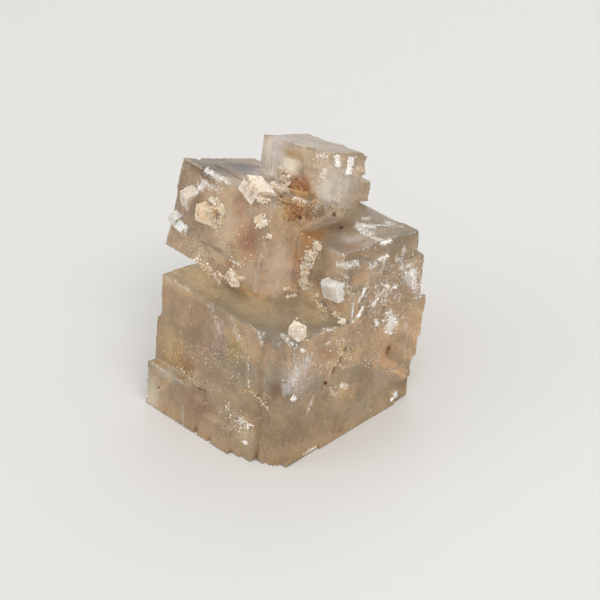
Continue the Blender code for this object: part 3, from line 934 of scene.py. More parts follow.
@dataclass
class ClusterBody:
    """The whole cluster as one clear body, finer than the solid it stands for.

    Attributes:
        spacing: longest edge of the finished mesh, in millimetres.
        wear: how much the sharp edges are worn back, in millimetres.
        fillet: how much the inner corners are filled, in millimetres.
        low_step: steps lower than this are blurred, in millimetres.
        blur_rounds: how often the low steps are evened out.
        hard_foot: height below which the steps stay crisp, in millimetres.
        corner_reach: how far round the stepped front corner all edges are blurred, in millimetres.
        corner_rounds: how often the steps there are evened out on top of that.
        pits: how many shallow hollows are etched.
        still_foot: height below which no point moves, in millimetres.
        wave: height of the slight waves on all faces, in millimetres.
        chips: depth of the chips in the outer edges, in millimetres.
        wave_pitch: how often the waves repeat along one EDGE.
        chip_pitch: the same for the chips.
        wear_pitch: the same for the worn places between them.
        gain: what the painted tones are multiplied by, since light is lost inside.
        foot_light_gain: the same at the foot, painted lighter and warmer there as painted light, since less
            light comes in.
        halo: how much frost spreads round each streak of frost grains.
        halo_widths: width of the streaks that have such a halo, in points of the picture.
        halo_step: distance between the halo's spots along a streak, in the same points.
        halo_reach: reach of a spot in millimetres, for each point of the streak's width.
        rim_highlight_colour: the colour painted on the outer edges, a painted highlight along them.
        finish: what the body is made of.
    """

    spacing: float = 0.86
    wear: float = 0.13
    fillet: float = 0.10
    low_step: float = 2.2
    blur_rounds: int = 24
    hard_foot: float = 0.3
    corner_reach: float = 9.0
    corner_rounds: int = 90
    pits: int = 200
    still_foot: float = 0.25
    wave: float = 0.09
    chips: float = 1.1
    wave_pitch: float = 6.0
    chip_pitch: float = 14.0
    wear_pitch: float = 40.0
    gain: Colour = (1.65, 1.76, 1.86)
    foot_light_gain: Colour = (2.6, 2.36, 2.0)
    halo: float = 0.9
    halo_widths: Span = (3, 18)
    halo_step: float = 4
    halo_reach: float = 0.11
    rim_highlight_colour: Colour = seen(0xF4ECDC)
    finish: CloudyHalite = field(default_factory=CloudyHalite)

    def refined_solid(self) -> bmesh.types.BMesh:
        """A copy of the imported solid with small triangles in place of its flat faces."""
        shape = bmesh.new()
        shape.from_mesh(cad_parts[NODE].data)
        bmesh.ops.remove_doubles(shape, verts=shape.verts, dist=0.002 * MM)
        bmesh.ops.dissolve_limit(shape, angle_limit=math.radians(0.3), verts=shape.verts, edges=shape.edges)
        bmesh.ops.triangulate(shape, faces=shape.faces)
        halve_long_edges(shape, self.spacing, rounds=9)
        flat = [edge for edge in shape.edges if edge.is_manifold and edge.calc_face_angle() < 0.005]
        bmesh.ops.beautify_fill(shape, faces=shape.faces, edges=flat)
        shape.normal_update()
        return shape

    def low_steps(self, shape: bmesh.types.BMesh, hollow: set[int]) -> np.ndarray:
        """Marks the points on the edges and feet of low steps with 1.

        Args:
            shape: the refined mesh.
            hollow: the points that lie in inner corners.

        Returns:
            One number for each point.
        """
        tree = BVHTree.FromBMesh(shape)
        marks = np.zeros(len(shape.verts))
        near = 0.03 * MM
        for vertex in shape.verts:
            sides = facings(vertex)
            way = 1 if vertex.index in hollow else -1
            for out in sides:
                for wall in sides:
                    if wall is out or marks[vertex.index]:
                        continue
                    start = vertex.co - way * near * wall + way * near * out
                    hit = tree.ray_cast(start, way * out, self.low_step * MM)
                    if hit[0] is not None:
                        marks[vertex.index] = 1.0
        return marks

    def weather(self, shape: bmesh.types.BMesh) -> np.ndarray:
        """Moves the points: blurred steps, worn edges, etched lines, pits and slight waves.

        Args:
            shape: the refined mesh, which is changed.

        Returns:
            How near each point is to a worn outer edge, from 0 to 1.
        """
        back = LATTICE_TURN.transposed()
        hollow: set[int] = set()
        for edge in shape.edges:
            if edge.is_manifold and edge.calc_face_angle_signed() < -0.3:
                hollow.update(vertex.index for vertex in edge.verts)
        steps = self.low_steps(shape, hollow)
        sides = [facings(vertex) for vertex in shape.verts]
        outer = np.array([len(found) > 1 and number not in hollow for number, found in enumerate(sides)])
        rims = outer * (1.0 - steps)
        spots, depths = self.draw_pits(shape)
        for vertex, found in zip(shape.verts, sides):
            if vertex.co.z < self.still_foot * MM or not found:
                continue
            push = sum(found, Vector((0.0, 0.0, 0.0)))
            place = back @ (vertex.co - LATTICE_ORIGIN) / EDGE
            amount = self.wave * noise.noise(place * self.wave_pitch)
            if len(found) == 1:
                amount += self.etching(place, back @ push)
                _, number, distance = spots.find(vertex.co)
                depth, reach = depths[number]
                inside = max(0.0, 1.0 - (distance / (reach * MM)) ** 2)
                amount -= depth * inside * inside
            elif vertex.index in hollow:
                amount += self.fillet
            elif not steps[vertex.index]:
                chip = max(0.0, noise.noise(place * self.chip_pitch + Vector((7, 3, 1)))) ** 2
                worn = 0.45 + 0.6 * noise.noise(place * self.wear_pitch)
                amount -= self.wear * worn + self.chips * chip
            vertex.co += push * (amount * MM)
        self.blur(shape, steps, rims)
        return rims

    def blur(self, shape: bmesh.types.BMesh, steps: np.ndarray, rims: np.ndarray) -> None:
        """Evens out the marked steps, keeps the foot crisp, and keeps all inside the solid's box.

        Args:
            shape: the mesh, which is changed.
            steps: 1 on the points of low steps.
            rims: how near each point is to an outer edge, which stays crisp.
        """
        ends = np.array([[vertex.index for vertex in edge.verts] for edge in shape.edges])
        first, second = ends[:, 0], ends[:, 1]
        count = len(shape.verts)
        points = np.array([vertex.co for vertex in shape.verts])
        weight = steps.copy()
        for share in (0.9, 0.7, 0.5):
            grown = weight.copy()
            np.maximum.at(grown, first, share * weight[second])
            np.maximum.at(grown, second, share * weight[first])
            weight = grown
        edges = rims.copy()
        for share in (0.9, 0.7):
            np.maximum.at(edges, first, share * edges[second])
            np.maximum.at(edges, second, share * edges[first])
        away = (points - np.array(LATTICE_ORIGIN)) @ np.array(LATTICE_TURN) - EDGE * np.array(FRONT_CORNER)
        corner = np.hypot(away[:, 0], away[:, 1]) < self.corner_reach * MM
        fade_in = 1.2  # millimetres above the crisp foot
        weight *= np.clip((points[:, 2] / MM - self.hard_foot) / fade_in, 0.0, 1.0) * (1.0 - edges * ~corner)
        degree = np.bincount(ends.ravel(), minlength=count)[:, None]
        pull = 0.6
        for turn in range(self.blur_rounds + self.corner_rounds):
            if turn == self.blur_rounds:
                weight *= corner
            total = np.zeros((count, 3))
            np.add.at(total, first, points[second])
            np.add.at(total, second, points[first])
            points += pull * weight[:, None] * (total / degree - points)
        low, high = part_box(NODE)
        for vertex, point in zip(shape.verts, np.clip(points, low, high)):
            vertex.co = point

    def draw_pits(self, shape: bmesh.types.BMesh) -> tuple[KDTree, list[tuple[float, float]]]:
        """Chance places for pits, with the depth and the reach of each in millimetres."""
        draw = random.Random(SEED + 1)
        points = [vertex.co.copy() for vertex in shape.verts]
        spots = KDTree(self.pits)
        for number in range(self.pits):
            spots.insert(draw.choice(points), number)
        spots.balance()
        depths = [(draw.uniform(0.06, 0.22), draw.uniform(0.6, 1.8)) for _ in range(self.pits)]
        return spots, depths

    @staticmethod
    def etching(place: Vector, facing: Vector) -> float:
        """The height in millimetres of the etched lines at a place on a flat face.

        Args:
            place: the place in the lattice frame.
            facing: the face's normal in that frame.

        Returns:
            The height above the flat face.
        """
        square_on = 0.9
        if abs(facing.y) > square_on:
            lines = noise.noise(Vector((place.x * 22, place.y * 4, place.z * 3.0)))
            return 0.06 * lines + 0.04 * noise.noise(place * 16)
        if abs(facing.x) > square_on:
            along, across = place.y + place.z, place.y - place.z
            ridge = 1 - 2 * abs(noise.noise(Vector((along * 5, across * 20, place.x * 4))))
            rough = 0.25 + 0.75 * max(0.0, min(1.0, (place.z - 0.35) * 2.5))
            return 0.10 * rough * ridge + 0.04 * noise.noise(place * 18)
        return 0.05 * noise.noise(place * 12)

    def paint(self, mesh: bpy.types.Mesh, skin: Skin, rims: np.ndarray) -> None:
        """Stores the haze colour, with painted light on the top, the foot and the outer edges, and the
        amounts of frost and rust on the mesh.

        Args:
            mesh: the mesh to paint.
            skin: finds the middle of each zone.
            rims: how near each point is to an outer edge.
        """
        count = len(mesh.vertices)
        points = np.empty(count * 3)
        mesh.vertices.foreach_get("co", points)
        points = points.reshape(-1, 3)
        colour = np.tile(np.array(TAN), (count, 1))
        zones = [(skin.at(pixel), reach, code, strength) for pixel, reach, code, strength in HAZES]
        for foot, reach, code, strength in zones + list(self.hidden_hazes(skin)):
            away = (points - np.array(foot.point)) @ np.array(LATTICE_TURN) / (np.array(reach) * MM)
            weight = strength * np.exp(-((away**2).sum(1) ** 1.3))
            colour += weight[:, None] * (np.array(seen(code)) - colour)
        foot_ends, rim_highlight_share, rim_frost_and_highlight = 30 * MM, 0.9, 0.5
        # Painted light: the colour grows lighter and warmer towards the foot, where less light comes in.
        height = np.clip(points[:, 2:] / foot_ends, 0.0, 1.0)
        colour *= height * np.array(self.gain) + (1.0 - height) * np.array(self.foot_light_gain)
        # Painted highlight: the outer edges are painted lighter, as light shows along them.
        colour += rim_highlight_share * rims[:, None] * (np.array(self.rim_highlight_colour) - colour)
        layer = mesh.color_attributes.new("haze", "FLOAT_COLOR", "POINT")
        layer.data.foreach_set("color", np.column_stack([colour, np.ones(count)]).astype(np.float32).ravel())
        halos = tuple(self.frost_halos())
        for name, spots in (("frosted", FROST_ZONES + halos), ("rusty", RUST_ZONES)):
            # The frost on the outer edges is partly real frost and partly painted highlight.
            values = rim_frost_and_highlight * rims if name == "frosted" else np.zeros(count)
            for pixel, reach, amount in spots:
                foot = skin.at(pixel)
                if foot is None:
                    continue
                away = np.linalg.norm(points - np.array(foot.point), axis=1) / (reach * MM)
                values = np.maximum(values, amount * np.exp(-(away**2.5)))
            store_numbers(mesh, name, values)

    def frost_halos(self) -> Iterable[tuple[Pixel, float, float]]:
        """Small frosted zones along the streaks of frost grains."""
        narrowest, widest = self.halo_widths
        for crust in CRUSTS:
            for stroke in crust.strokes if crust.finish is FROST else ():
                if not narrowest <= stroke.width <= widest:
                    continue
                reach = self.halo_reach * stroke.width
                for (ax, ay), (bx, by) in zip(stroke.line, stroke.line[1:]):
                    steps = max(1, round(math.dist((ax, ay), (bx, by)) / self.halo_step))
                    for step in range(steps + 1):
                        share = step / steps
                        yield (ax + share * (bx - ax), ay + share * (by - ay)), reach, self.halo

    @staticmethod
    def hidden_hazes(skin: Skin) -> Iterable[tuple[Foothold, Triple, int, float]]:
        """Zones for the sides that the picture doesn't show, in the same tones."""
        draw = random.Random(SEED + 2)
        for foot in skin.far_side(draw, count=26):
            reach = tuple(draw.uniform(2.5, 7.0) for _ in range(3))
            yield foot, reach, draw.choice(HAZES)[2], draw.uniform(0.5, 0.9)

    @staticmethod
    def edge_frost_and_highlight(groups: Groups, mesh: bpy.types.Mesh, rims: np.ndarray) -> None:
        """Sets small pale flakes along the worn outer edges: partly frost, partly painted highlight that
        draws a thin bright line along each edge.

        Args:
            groups: the shared node groups.
            mesh: the finished body.
            rims: how near each point is to an outer edge.
        """
        heap = GrainHeap(SEED + 3)
        repeats_per_mm, lowest, usual_share, flakes, spread, size = 0.35, 1.0 * MM, 0.8, 4, 0.3, (0.05, 0.26)
        for vertex in mesh.vertices:
            more = noise.noise(vertex.co / MM * repeats_per_mm)
            if rims[vertex.index] < 0.5 or vertex.co.z < lowest or heap.draw.random() > usual_share + more:
                continue
            for _ in range(flakes):
                off = Vector([heap.draw.uniform(-spread, spread) for _ in range(3)]) * MM
                off -= off.dot(vertex.normal) * vertex.normal
                foot = Foothold(vertex.co + off, vertex.normal.copy())
                lay_grain(heap, foot, size, Habit.FLAKES, spin=0.0)
        heap.build("edge_frost_and_highlight", EDGE_FROST_AND_HIGHLIGHT.material(groups))

    def build(self, groups: Groups, skin: Skin) -> bpy.types.Object:
        """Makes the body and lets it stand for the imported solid.

        Args:
            groups: the shared node groups.
            skin: the plain solid's outside.

        Returns:
            The finished body.
        """
        shape = self.refined_solid()
        rims = self.weather(shape)
        mesh = bpy.data.meshes.new("halite_body")
        shape.to_mesh(mesh)
        shape.free()
        self.paint(mesh, skin, rims)
        mesh.shade_smooth()
        mesh.set_sharp_from_angle(angle=math.radians(32))
        piece = link_piece("halite_body", mesh, self.finish.material(groups))
        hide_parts(NODE)
        self.edge_frost_and_highlight(groups, mesh, rims)
        return piece


# ---------------------------------------------------------------- small crystals


Plate = tuple[int, int, list[float], list[float], float]


@dataclass(frozen=True)
class SmallCrystal:
    """One small crystal that stands out on its own.

    Attributes:
        name: the piece's name.
        host: the frame in which its middle is given.
        middle: its middle, in units of EDGE.
        size: its sides, in units of EDGE.
        degrees: its angles in the lattice frame.
        finish: what it is made of.
        plates: how many thin growth layers lie on it.
        skinned: how much it is larger than the block in the solid.
    """

    name: str
    host: CrystalFrame
    middle: Triple
    size: Triple
    degrees: Triple
    finish: MilkyHalite
    plates: int = 7
    skinned: float = 1.012

    def turn(self) -> Matrix:
        """The crystal's rotation in the world."""
        return LATTICE_TURN @ rotation(self.degrees)

    def build(self, groups: Groups, number: int) -> bpy.types.Object:
        """Makes the crystal: a block with thin plates, worn edges and broken corners.

        Args:
            groups: the shared node groups.
            number: sets the draw of its details.

        Returns:
            The finished piece.
        """
        draw = random.Random(SEED + 31 * number)
        half = EDGE * self.skinned / 2 * Vector(self.size)
        shape = self.fine_block(half)
        plates = [self.draw_plate(draw, half, index % 3) for index in range(self.plates)]
        offset = Vector([draw.uniform(0, 50) for _ in range(3)])
        tones = []
        for vertex in shape.verts:
            place = vertex.co / MM
            gaps = sorted(side / MM - abs(value) for side, value in zip(half, place))
            tones.append(0.15 + 0.35 * min(1.0, max(0.0, gaps[1] / 0.7)))
            wave = 0.10 * noise.noise(place * 0.9 + offset) + 0.09 * noise.noise(place * 2.4 + offset)
            lift = vertex.normal * wave
            for axis, side, low, high, height in plates:
                across = [value for index, value in enumerate(place) if index != axis]
                inside = min(min(value - a, b - value) for value, a, b in zip(across, low, high))
                if place[axis] * side > half[axis] / MM - 0.12 and inside > 0:
                    lift[axis] += side * height * min(1.0, inside / 0.15)
            outward = place.length / (min(half) / MM)
            chip = max(0.0, noise.noise(place * 0.7 + 2 * offset)) * max(0.0, outward - 1.2)
            vertex.co += (lift - 0.5 * chip * place.normalized()) * MM
        mesh = bpy.data.meshes.new(self.name)
        shape.to_mesh(mesh)
        shape.free()
        mesh.transform(Matrix.Translation(self.host.place(self.middle)) @ self.turn().to_4x4())
        low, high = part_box(NODE)
        for vertex in mesh.vertices:
            vertex.co = [min(max(value, a), b) for value, a, b in zip(vertex.co, low, high)]
        store_numbers(mesh, "grain", tones)
        mesh.shade_smooth()
        mesh.set_sharp_from_angle(angle=math.radians(35))
        return link_piece(self.name, mesh, self.finish.material(groups))

    @staticmethod
    def fine_block(half: Vector) -> bmesh.types.BMesh:
        """A block of small triangles with narrow rounded edges, from its three half sides."""
        shape = bmesh.new()
        bmesh.ops.create_cube(shape, size=2.0)
        bmesh.ops.scale(shape, vec=half, verts=shape.verts)
        bmesh.ops.bevel(shape, geom=shape.edges[:], offset=0.08 * MM, segments=2, profile=0.5, affect="EDGES")
        bmesh.ops.triangulate(shape, faces=shape.faces)
        halve_long_edges(shape, longest=0.34, rounds=6)
        shape.normal_update()
        return shape

    @staticmethod
    def draw_plate(draw: random.Random, half: Vector, axis: int) -> Plate:
        """One thin growth layer: its axis, its side, its two corners and its height in millimetres."""
        spans = [side / MM for index, side in enumerate(half) if index != axis]
        middle = [draw.uniform(-0.6, 0.6) * span for span in spans]
        wide = [draw.uniform(0.25, 0.7) * span for span in spans]
        low = [value - reach for value, reach in zip(middle, wide)]
        high = [value + reach for value, reach in zip(middle, wide)]
        return axis, draw.choice((-1, 1)), low, high, draw.uniform(0.06, 0.20)


SMALL_CRYSTALS = (
    SmallCrystal("tilted_cube", LEFT, (0.605, 0.045, 0.520), (0.132, 0.118, 0.096), (-20, 20, -6), CREAM, 9),
    SmallCrystal("face_cube", LEFT, (0.336, -0.014, 0.300), (0.112, 0.104, 0.088), (-4, 0, 9), PEACH, 9),
    SmallCrystal("face_plate", LEFT, (0.148, -0.016, 0.320), (0.072, 0.080, 0.112), (19, 19, -3), PLATE, 5),
    SmallCrystal("edge_bar", LEFT, (0.115, -0.018, 0.159), (0.160, 0.055, 0.050), (-20, 9, -6), GLASSY, 6),
    SmallCrystal("edge_knob", LEFT, (0.083, -0.038, 0.186), (0.055, 0.050, 0.052), (10, 25, 8), GLASSY, 3),
    SmallCrystal(
        "stained_cube", LEFT, (0.654, 0.291, 0.496), (0.085, 0.075, 0.080), (-12, -8, -1), STAINED, 5
    ),
    SmallCrystal("stained_knob", LEFT, (0.759, 0.344, 0.470), (0.060, 0.060, 0.070), (20, 10, 5), STAINED, 3),
    SmallCrystal("crest_cube", LEFT, (0.730, 0.250, 0.475), (0.070, 0.090, 0.080), (-20, 12, 20), CREAM, 5),
    SmallCrystal(
        "shoulder_cube", LATTICE, (0.872, 0.455, 0.924), (0.118, 0.084, 0.092), (12, -8, -2), MURKY, 9, 1.07
    ),
    SmallCrystal("corner_cube", LATTICE, (0.954, 0.124, 0.806), (0.071, 0.065, 0.066), (5, 0, 4), CREAM, 6),
    SmallCrystal("foot_chip", LATTICE, (0.992, 0.842, 0.222), (0.044, 0.040, 0.038), (8, 5, 12), GLASSY, 2),
)


# ---------------------------------------------------------------- crusts, frost and druse


@dataclass(frozen=True)
class Crust:
    """A piece made of many grains.

    Attributes:
        name: the piece's name.
        finish: what the grains are made of.
        strokes: the bands that it fills.
        far: patches on the hidden sides.
    """

    name: str
    finish: MilkyHalite
    strokes: tuple[Stroke, ...]
    far: int = 0

    def build(self, groups: Groups, skin: Skin, number: int) -> bpy.types.Object | None:
        """Lays all strokes and makes one piece of them."""
        heap = GrainHeap(SEED + 101 * number)
        for stroke in self.strokes:
            lay_stroke(heap, skin, stroke)
        lay_far_patches(heap, skin, self.far, self.strokes[0].size, self.strokes[0].habit)
        return heap.build(self.name, self.finish.material(groups))


FLAKES, SLIVERS = Habit.FLAKES, Habit.SLIVERS
CRUSTS = (
    Crust("seam_crust", SUGAR, (
        Stroke(((254, 196), (262, 199), (270, 201)), 5, 130, (0.12, 0.5)),
        Stroke(((210, 199), (219, 206), (221, 216), (213, 226)), 6, 260, (0.15, 0.60)),
        Stroke(((292, 324), (301, 331), (297, 340)), 9, 160, (0.15, 0.5)),
        Stroke(((318, 243), (312, 252), (308, 262), (305, 275), (304, 290)), 9, 780, (0.12, 0.58)),
        Stroke(((282, 289), (295, 291), (306, 288)), 6, 120, (0.15, 0.6)),
        Stroke(((286, 297), (296, 296)), 3, 30, (0.15, 0.5)),
        Stroke(((228, 272), (234, 277), (240, 285)), 9, 320, (0.12, 0.55)),
        Stroke(((196, 258), (212, 272), (222, 280)), 7, 150, (0.15, 0.5)),
        Stroke(((258, 217), (264, 226)), 8, 260, (0.12, 0.60)),
        Stroke(((270, 236),), 3, 25, (0.2, 0.6)),
        Stroke(((309, 300), (330, 312), (345, 322)), 5, 130, (0.15, 0.5)),
        Stroke(((316, 296),), 3, 22, (0.2, 0.7)),
        Stroke(((343, 322),), 3, 16, (0.3, 0.8)),
    ), far=7),
    Crust("crown_foot_crystals", CREAM, (
        Stroke(((280, 168), (284, 176), (286, 188)), 6, 110, (0.25, 0.9)),
        Stroke(((272, 184), (280, 190), (290, 192)), 6, 90, (0.25, 0.8)),
        Stroke(((245, 186), (262, 200)), 9, 120, (0.15, 0.5)),
    )),
    Crust("iron_druse", RUST, (
        Stroke(((297, 184), (302, 195), (297, 210), (291, 222)), 14, 260, (0.08, 0.34)),
        Stroke(((280, 196), (290, 204), (286, 220)), 8, 240, (0.08, 0.34)),
        Stroke(((311, 190), (313, 200), (308, 214)), 6, 110, (0.08, 0.30)),
        Stroke(((211, 212), (219, 205)), 6, 60, (0.12, 0.4)),
    ), far=1),
    Crust("golden_crust", GOLDEN, (
        Stroke(((294, 180), (306, 190), (303, 206)), 16, 170, (0.06, 0.26), FLAKES),
        Stroke(((286, 196), (292, 210), (290, 224)), 12, 170, (0.06, 0.26), FLAKES),
        Stroke(((340, 357), (352, 352), (364, 347), (380, 337)), 9, 900, (0.06, 0.28), FLAKES),
        Stroke(((312, 367), (330, 362), (345, 368), (362, 361)), 5, 800, (0.06, 0.28), FLAKES),
        Stroke(((208, 203), (213, 212), (210, 220)), 7, 260, (0.10, 0.35)),
        Stroke(((216, 198), (222, 208), (221, 220), (214, 228)), 5, 320, (0.15, 0.50)),
        Stroke(((178, 366), (188, 378), (200, 386)), 5, 260, (0.06, 0.25)),
        Stroke(((250, 391), (260, 399), (269, 410)), 3, 150, (0.08, 0.28)),
        Stroke(((170, 340), (200, 360), (240, 350)), 30, 260, (0.06, 0.20)),
    ), far=4),
    Crust("white_frost_and_glints", FROST, (
        # the left crystal and the small crystals on it
        Stroke(((205, 169), (216, 177), (230, 184)), 6, 1300, (0.06, 0.26), FLAKES),
        Stroke(((199, 190), (206, 181)), 7, 260, (0.06, 0.20)),
        Stroke(((208, 186), (222, 190)), 6, 160, (0.05, 0.16)),
        Stroke(((184, 226), (190, 235)), 5, 220, (0.08, 0.28)),
        Stroke(((255, 186), (262, 184), (270, 188)), 7, 140, (0.06, 0.28), FLAKES),
        Stroke(((270, 189), (276, 196)), 3, 160, (0.06, 0.30), FLAKES),
        Stroke(((241, 267), (228, 255)), 3, 50, (0.08, 0.30)),
        # the crown; the first, second and fourth strokes below lay pale flakes where its right face shows
        # glossy reflections, as painted highlights
        Stroke(((337, 155), (338, 168)), 5, 320, (0.10, 0.50), FLAKES),
        Stroke(((350, 157), (350, 166), (345, 174)), 6, 460, (0.10, 0.50), FLAKES),
        Stroke(((283, 163), (282, 176), (280, 186)), 6, 220, (0.06, 0.30), FLAKES),
        Stroke(((324, 168), (322, 178)), 3, 80, (0.10, 0.40), FLAKES),
        Stroke(((316, 155), (330, 157)), 3, 80, (0.08, 0.35), FLAKES),
        # the shoulder's top
        Stroke(((355, 223), (366, 226), (376, 227)), 3.5, 420, (0.05, 0.26), FLAKES),
        Stroke(((361, 226), (366, 231), (374, 235)), 7, 420, (0.05, 0.22), FLAKES),
        Stroke(((374, 225), (388, 226), (403, 227)), 1.6, 260, (0.06, 0.22), FLAKES),
        Stroke(((384, 222), (396, 225)), 4, 180, (0.05, 0.20), FLAKES),
        Stroke(((362, 219), (371, 218)), 3.5, 130, (0.05, 0.20), FLAKES),
        Stroke(((356, 226), (362, 232), (372, 237), (381, 241)), 3.5, 520, (0.06, 0.24), FLAKES),
        Stroke(((381, 241), (386, 243), (391, 239)), 4, 460, (0.06, 0.34), FLAKES),
        # the shoulder's right face and the small cube before it
        Stroke(((378, 260), (383, 256), (388, 254)), 6, 620, (0.05, 0.30), FLAKES),
        Stroke(((377, 262), (371, 272)), 5, 240, (0.05, 0.22), FLAKES),
        Stroke(((396, 262), (400, 252), (405, 247)), 4, 340, (0.05, 0.24), FLAKES),
        Stroke(((376, 298), (383, 292), (388, 285)), 5, 220, (0.05, 0.22), FLAKES),
        Stroke(((402, 266), (410, 284)), 10, 420, (0.05, 0.22), FLAKES),
        Stroke(((409, 264), (415, 280), (418, 298)), 11, 1200, (0.05, 0.34), FLAKES),
        Stroke(((336, 264), (348, 266), (359, 263)), 6, 380, (0.05, 0.18)),
        Stroke(((342, 281), (345, 290), (342, 299)), 6, 700, (0.06, 0.30), FLAKES),
        Stroke(((322, 281), (323, 292), (331, 300), (341, 303)), 1.2, 240, (0.05, 0.20), FLAKES),
        Stroke(((322, 280), (332, 277), (344, 279)), 1.2, 240, (0.05, 0.20), FLAKES),
        Stroke(((328, 276), (340, 273), (349, 278)), 2, 150, (0.06, 0.25), FLAKES),
        Stroke(((326, 284), (327, 294), (341, 302)), 1.6, 150, (0.06, 0.25), FLAKES),
        Stroke(((330, 284), (340, 286), (341, 301)), 1.6, 150, (0.06, 0.25), FLAKES),
        Stroke(((381, 284), (389, 287)), 2, 110, (0.06, 0.28)),
        Stroke(((393, 288), (398, 285)), 2, 70, (0.06, 0.25)),
        # the main cube's right face
        Stroke(((389, 311), (392, 320), (389, 334)), 9, 900, (0.05, 0.34), FLAKES),
        Stroke(((394, 318), (397, 326)), 4, 240, (0.06, 0.22), FLAKES),
        Stroke(((374, 320), (379, 326)), 3.5, 220, (0.06, 0.22), FLAKES),
        Stroke(((323, 329), (336, 331)), 4, 200, (0.06, 0.26), FLAKES),
        Stroke(((291, 400), (296, 397)), 3, 220, (0.08, 0.35), FLAKES),
        Stroke(((303, 455), (316, 447)), 4, 200, (0.06, 0.24), FLAKES),
        Stroke(((340, 386), (348, 386)), 5, 120, (0.06, 0.24)),
        Stroke(((301, 349), (304, 352)), 3, 40, (0.08, 0.30)),
        Stroke(((391, 399), (392, 400)), 2.5, 60, (0.15, 0.55)),
        # its front left face
        Stroke(((244, 441), (246, 444)), 2, 70, (0.10, 0.40)),
        Stroke(((239, 419), (245, 424), (250, 427)), 6, 120, (0.06, 0.26)),
    ), far=12),
    Crust("frost_streaks", FROST, (
        # long feathers on the right
        Stroke(((373, 272), (367, 283), (362, 296)), 2.2, 460, (0.06, 0.20), SLIVERS),
        Stroke(((370, 262), (371, 272)), 2, 80, (0.05, 0.16), SLIVERS),
        Stroke(((362, 296), (357, 303)), 2, 90, (0.05, 0.16), SLIVERS),
        Stroke(((353, 304), (352, 322)), 1.6, 140, (0.06, 0.18), SLIVERS),
        Stroke(((363, 307), (359, 315), (352, 323)), 2, 240, (0.06, 0.20), SLIVERS),
        Stroke(((395, 258), (404, 246)), 5, 240, (0.05, 0.18), SLIVERS),
        Stroke(((400, 262), (406, 252)), 4, 120, (0.05, 0.16), SLIVERS),
        Stroke(((412, 255), (416, 245)), 2, 150, (0.05, 0.18), SLIVERS),
        Stroke(((385, 262), (376, 276)), 3, 140, (0.05, 0.16), SLIVERS),
        Stroke(((378, 298), (372, 307)), 3, 150, (0.05, 0.16), SLIVERS),
        Stroke(((388, 294), (376, 314)), 5, 170, (0.05, 0.16), SLIVERS),
        Stroke(((402, 311), (405, 329)), 5, 130, (0.05, 0.15), SLIVERS),
        Stroke(((400, 250), (362, 325)), 46, 330, (0.06, 0.20), SLIVERS),
        # the cloudy patch low on the right
        Stroke(((286, 392), (308, 358)), 17, 620, (0.05, 0.15), SLIVERS),
        Stroke(((314, 394), (306, 416)), 3, 90, (0.05, 0.15), SLIVERS),
        Stroke(((330, 388), (338, 398)), 5, 120, (0.05, 0.16), SLIVERS),
        Stroke(((331, 337), (325, 350)), 3.5, 140, (0.05, 0.16), SLIVERS),
        Stroke(((281, 334), (293, 345)), 5, 150, (0.05, 0.18), SLIVERS),
        Stroke(((340, 345), (320, 395)), 50, 130, (0.06, 0.18), SLIVERS),
        # upright ticks on the front left
        Stroke(((247, 348), (249, 388)), 3, 200, (0.05, 0.15), SLIVERS),
        Stroke(((232, 318), (239, 341)), 7, 160, (0.05, 0.13), SLIVERS),
        Stroke(((258, 331), (263, 346)), 5, 100, (0.05, 0.13), SLIVERS),
        Stroke(((211, 303), (220, 334)), 7, 130, (0.05, 0.13), SLIVERS),
        Stroke(((183, 405), (183, 428)), 1.2, 70, (0.05, 0.12), SLIVERS),
        Stroke(((200, 345), (212, 385)), 60, 110, (0.06, 0.16), SLIVERS),
        Stroke(((226, 405), (230, 440)), 34, 70, (0.06, 0.16), SLIVERS),
        # upright ticks on the crown and the left crystal
        Stroke(((275, 140), (277, 180)), 14, 90, (0.06, 0.16), SLIVERS),
        Stroke(((330, 160), (334, 206)), 30, 150, (0.06, 0.18), SLIVERS),
        Stroke(((214, 200), (222, 262)), 50, 50, (0.06, 0.14), SLIVERS),
    ), far=12),
    Crust("face_sugar", SUGAR, (
        Stroke(((184, 240), (196, 250), (204, 262)), 16, 140, (0.06, 0.20)),
        Stroke(((225, 232), (250, 262)), 30, 80, (0.06, 0.24)),
        Stroke(((220, 405), (236, 420), (250, 432)), 16, 220, (0.06, 0.28)),
        Stroke(((200, 350), (230, 390)), 34, 120, (0.06, 0.20)),
        Stroke(((300, 300), (330, 316)), 12, 90, (0.06, 0.24)),
        Stroke(((380, 270), (400, 320)), 30, 260, (0.06, 0.24)),
        Stroke(((330, 340), (380, 360)), 26, 210, (0.06, 0.24)),
        Stroke(((300, 205), (330, 215)), 16, 80, (0.06, 0.24)),
        Stroke(((310, 160), (340, 200)), 24, 90, (0.06, 0.20)),
    ), far=5),
    Crust("umber_specks_and_crease_shade", UMBER_AND_CREASE_SHADE, (
        Stroke(((333, 214),), 2.5, 16, (0.15, 0.45)),
        Stroke(((341, 228),), 2.5, 14, (0.15, 0.4)),
        Stroke(((279, 196), (284, 197)), 2.5, 22, (0.12, 0.4)),
        Stroke(((300, 218),), 4, 14, (0.12, 0.35)),
        Stroke(((326, 383),), 2.5, 12, (0.12, 0.35)),
        Stroke(((389, 345), (386, 356)), 2.5, 24, (0.15, 0.4), FLAKES),
        # Painted shade: dark flakes along the inner corner where the ledge's top meets the face.
        Stroke(((182, 377), (195, 386), (208, 393)), 1.6, 60, (0.1, 0.3), FLAKES),
        Stroke(((158.5, 388),), 1.5, 8, (0.12, 0.3)),
        Stroke(((256, 394), (267, 407)), 1.4, 30, (0.1, 0.3), FLAKES),
    )),
)


# ---------------------------------------------------------------- inside the crystal


@dataclass(frozen=True)
class Veil:
    """A healed crack inside the crystal, a plane of tiny flakes.

    Attributes:
        pixel: the point of the picture behind which it lies.
        depth: how deep below the face, in millimetres.
        degrees: the plane's angles in the lattice frame.
        size: its length and width, in millimetres.
        count: how many flakes.
    """

    pixel: Pixel
    depth: float
    degrees: Triple
    size: tuple[float, float]
    count: int


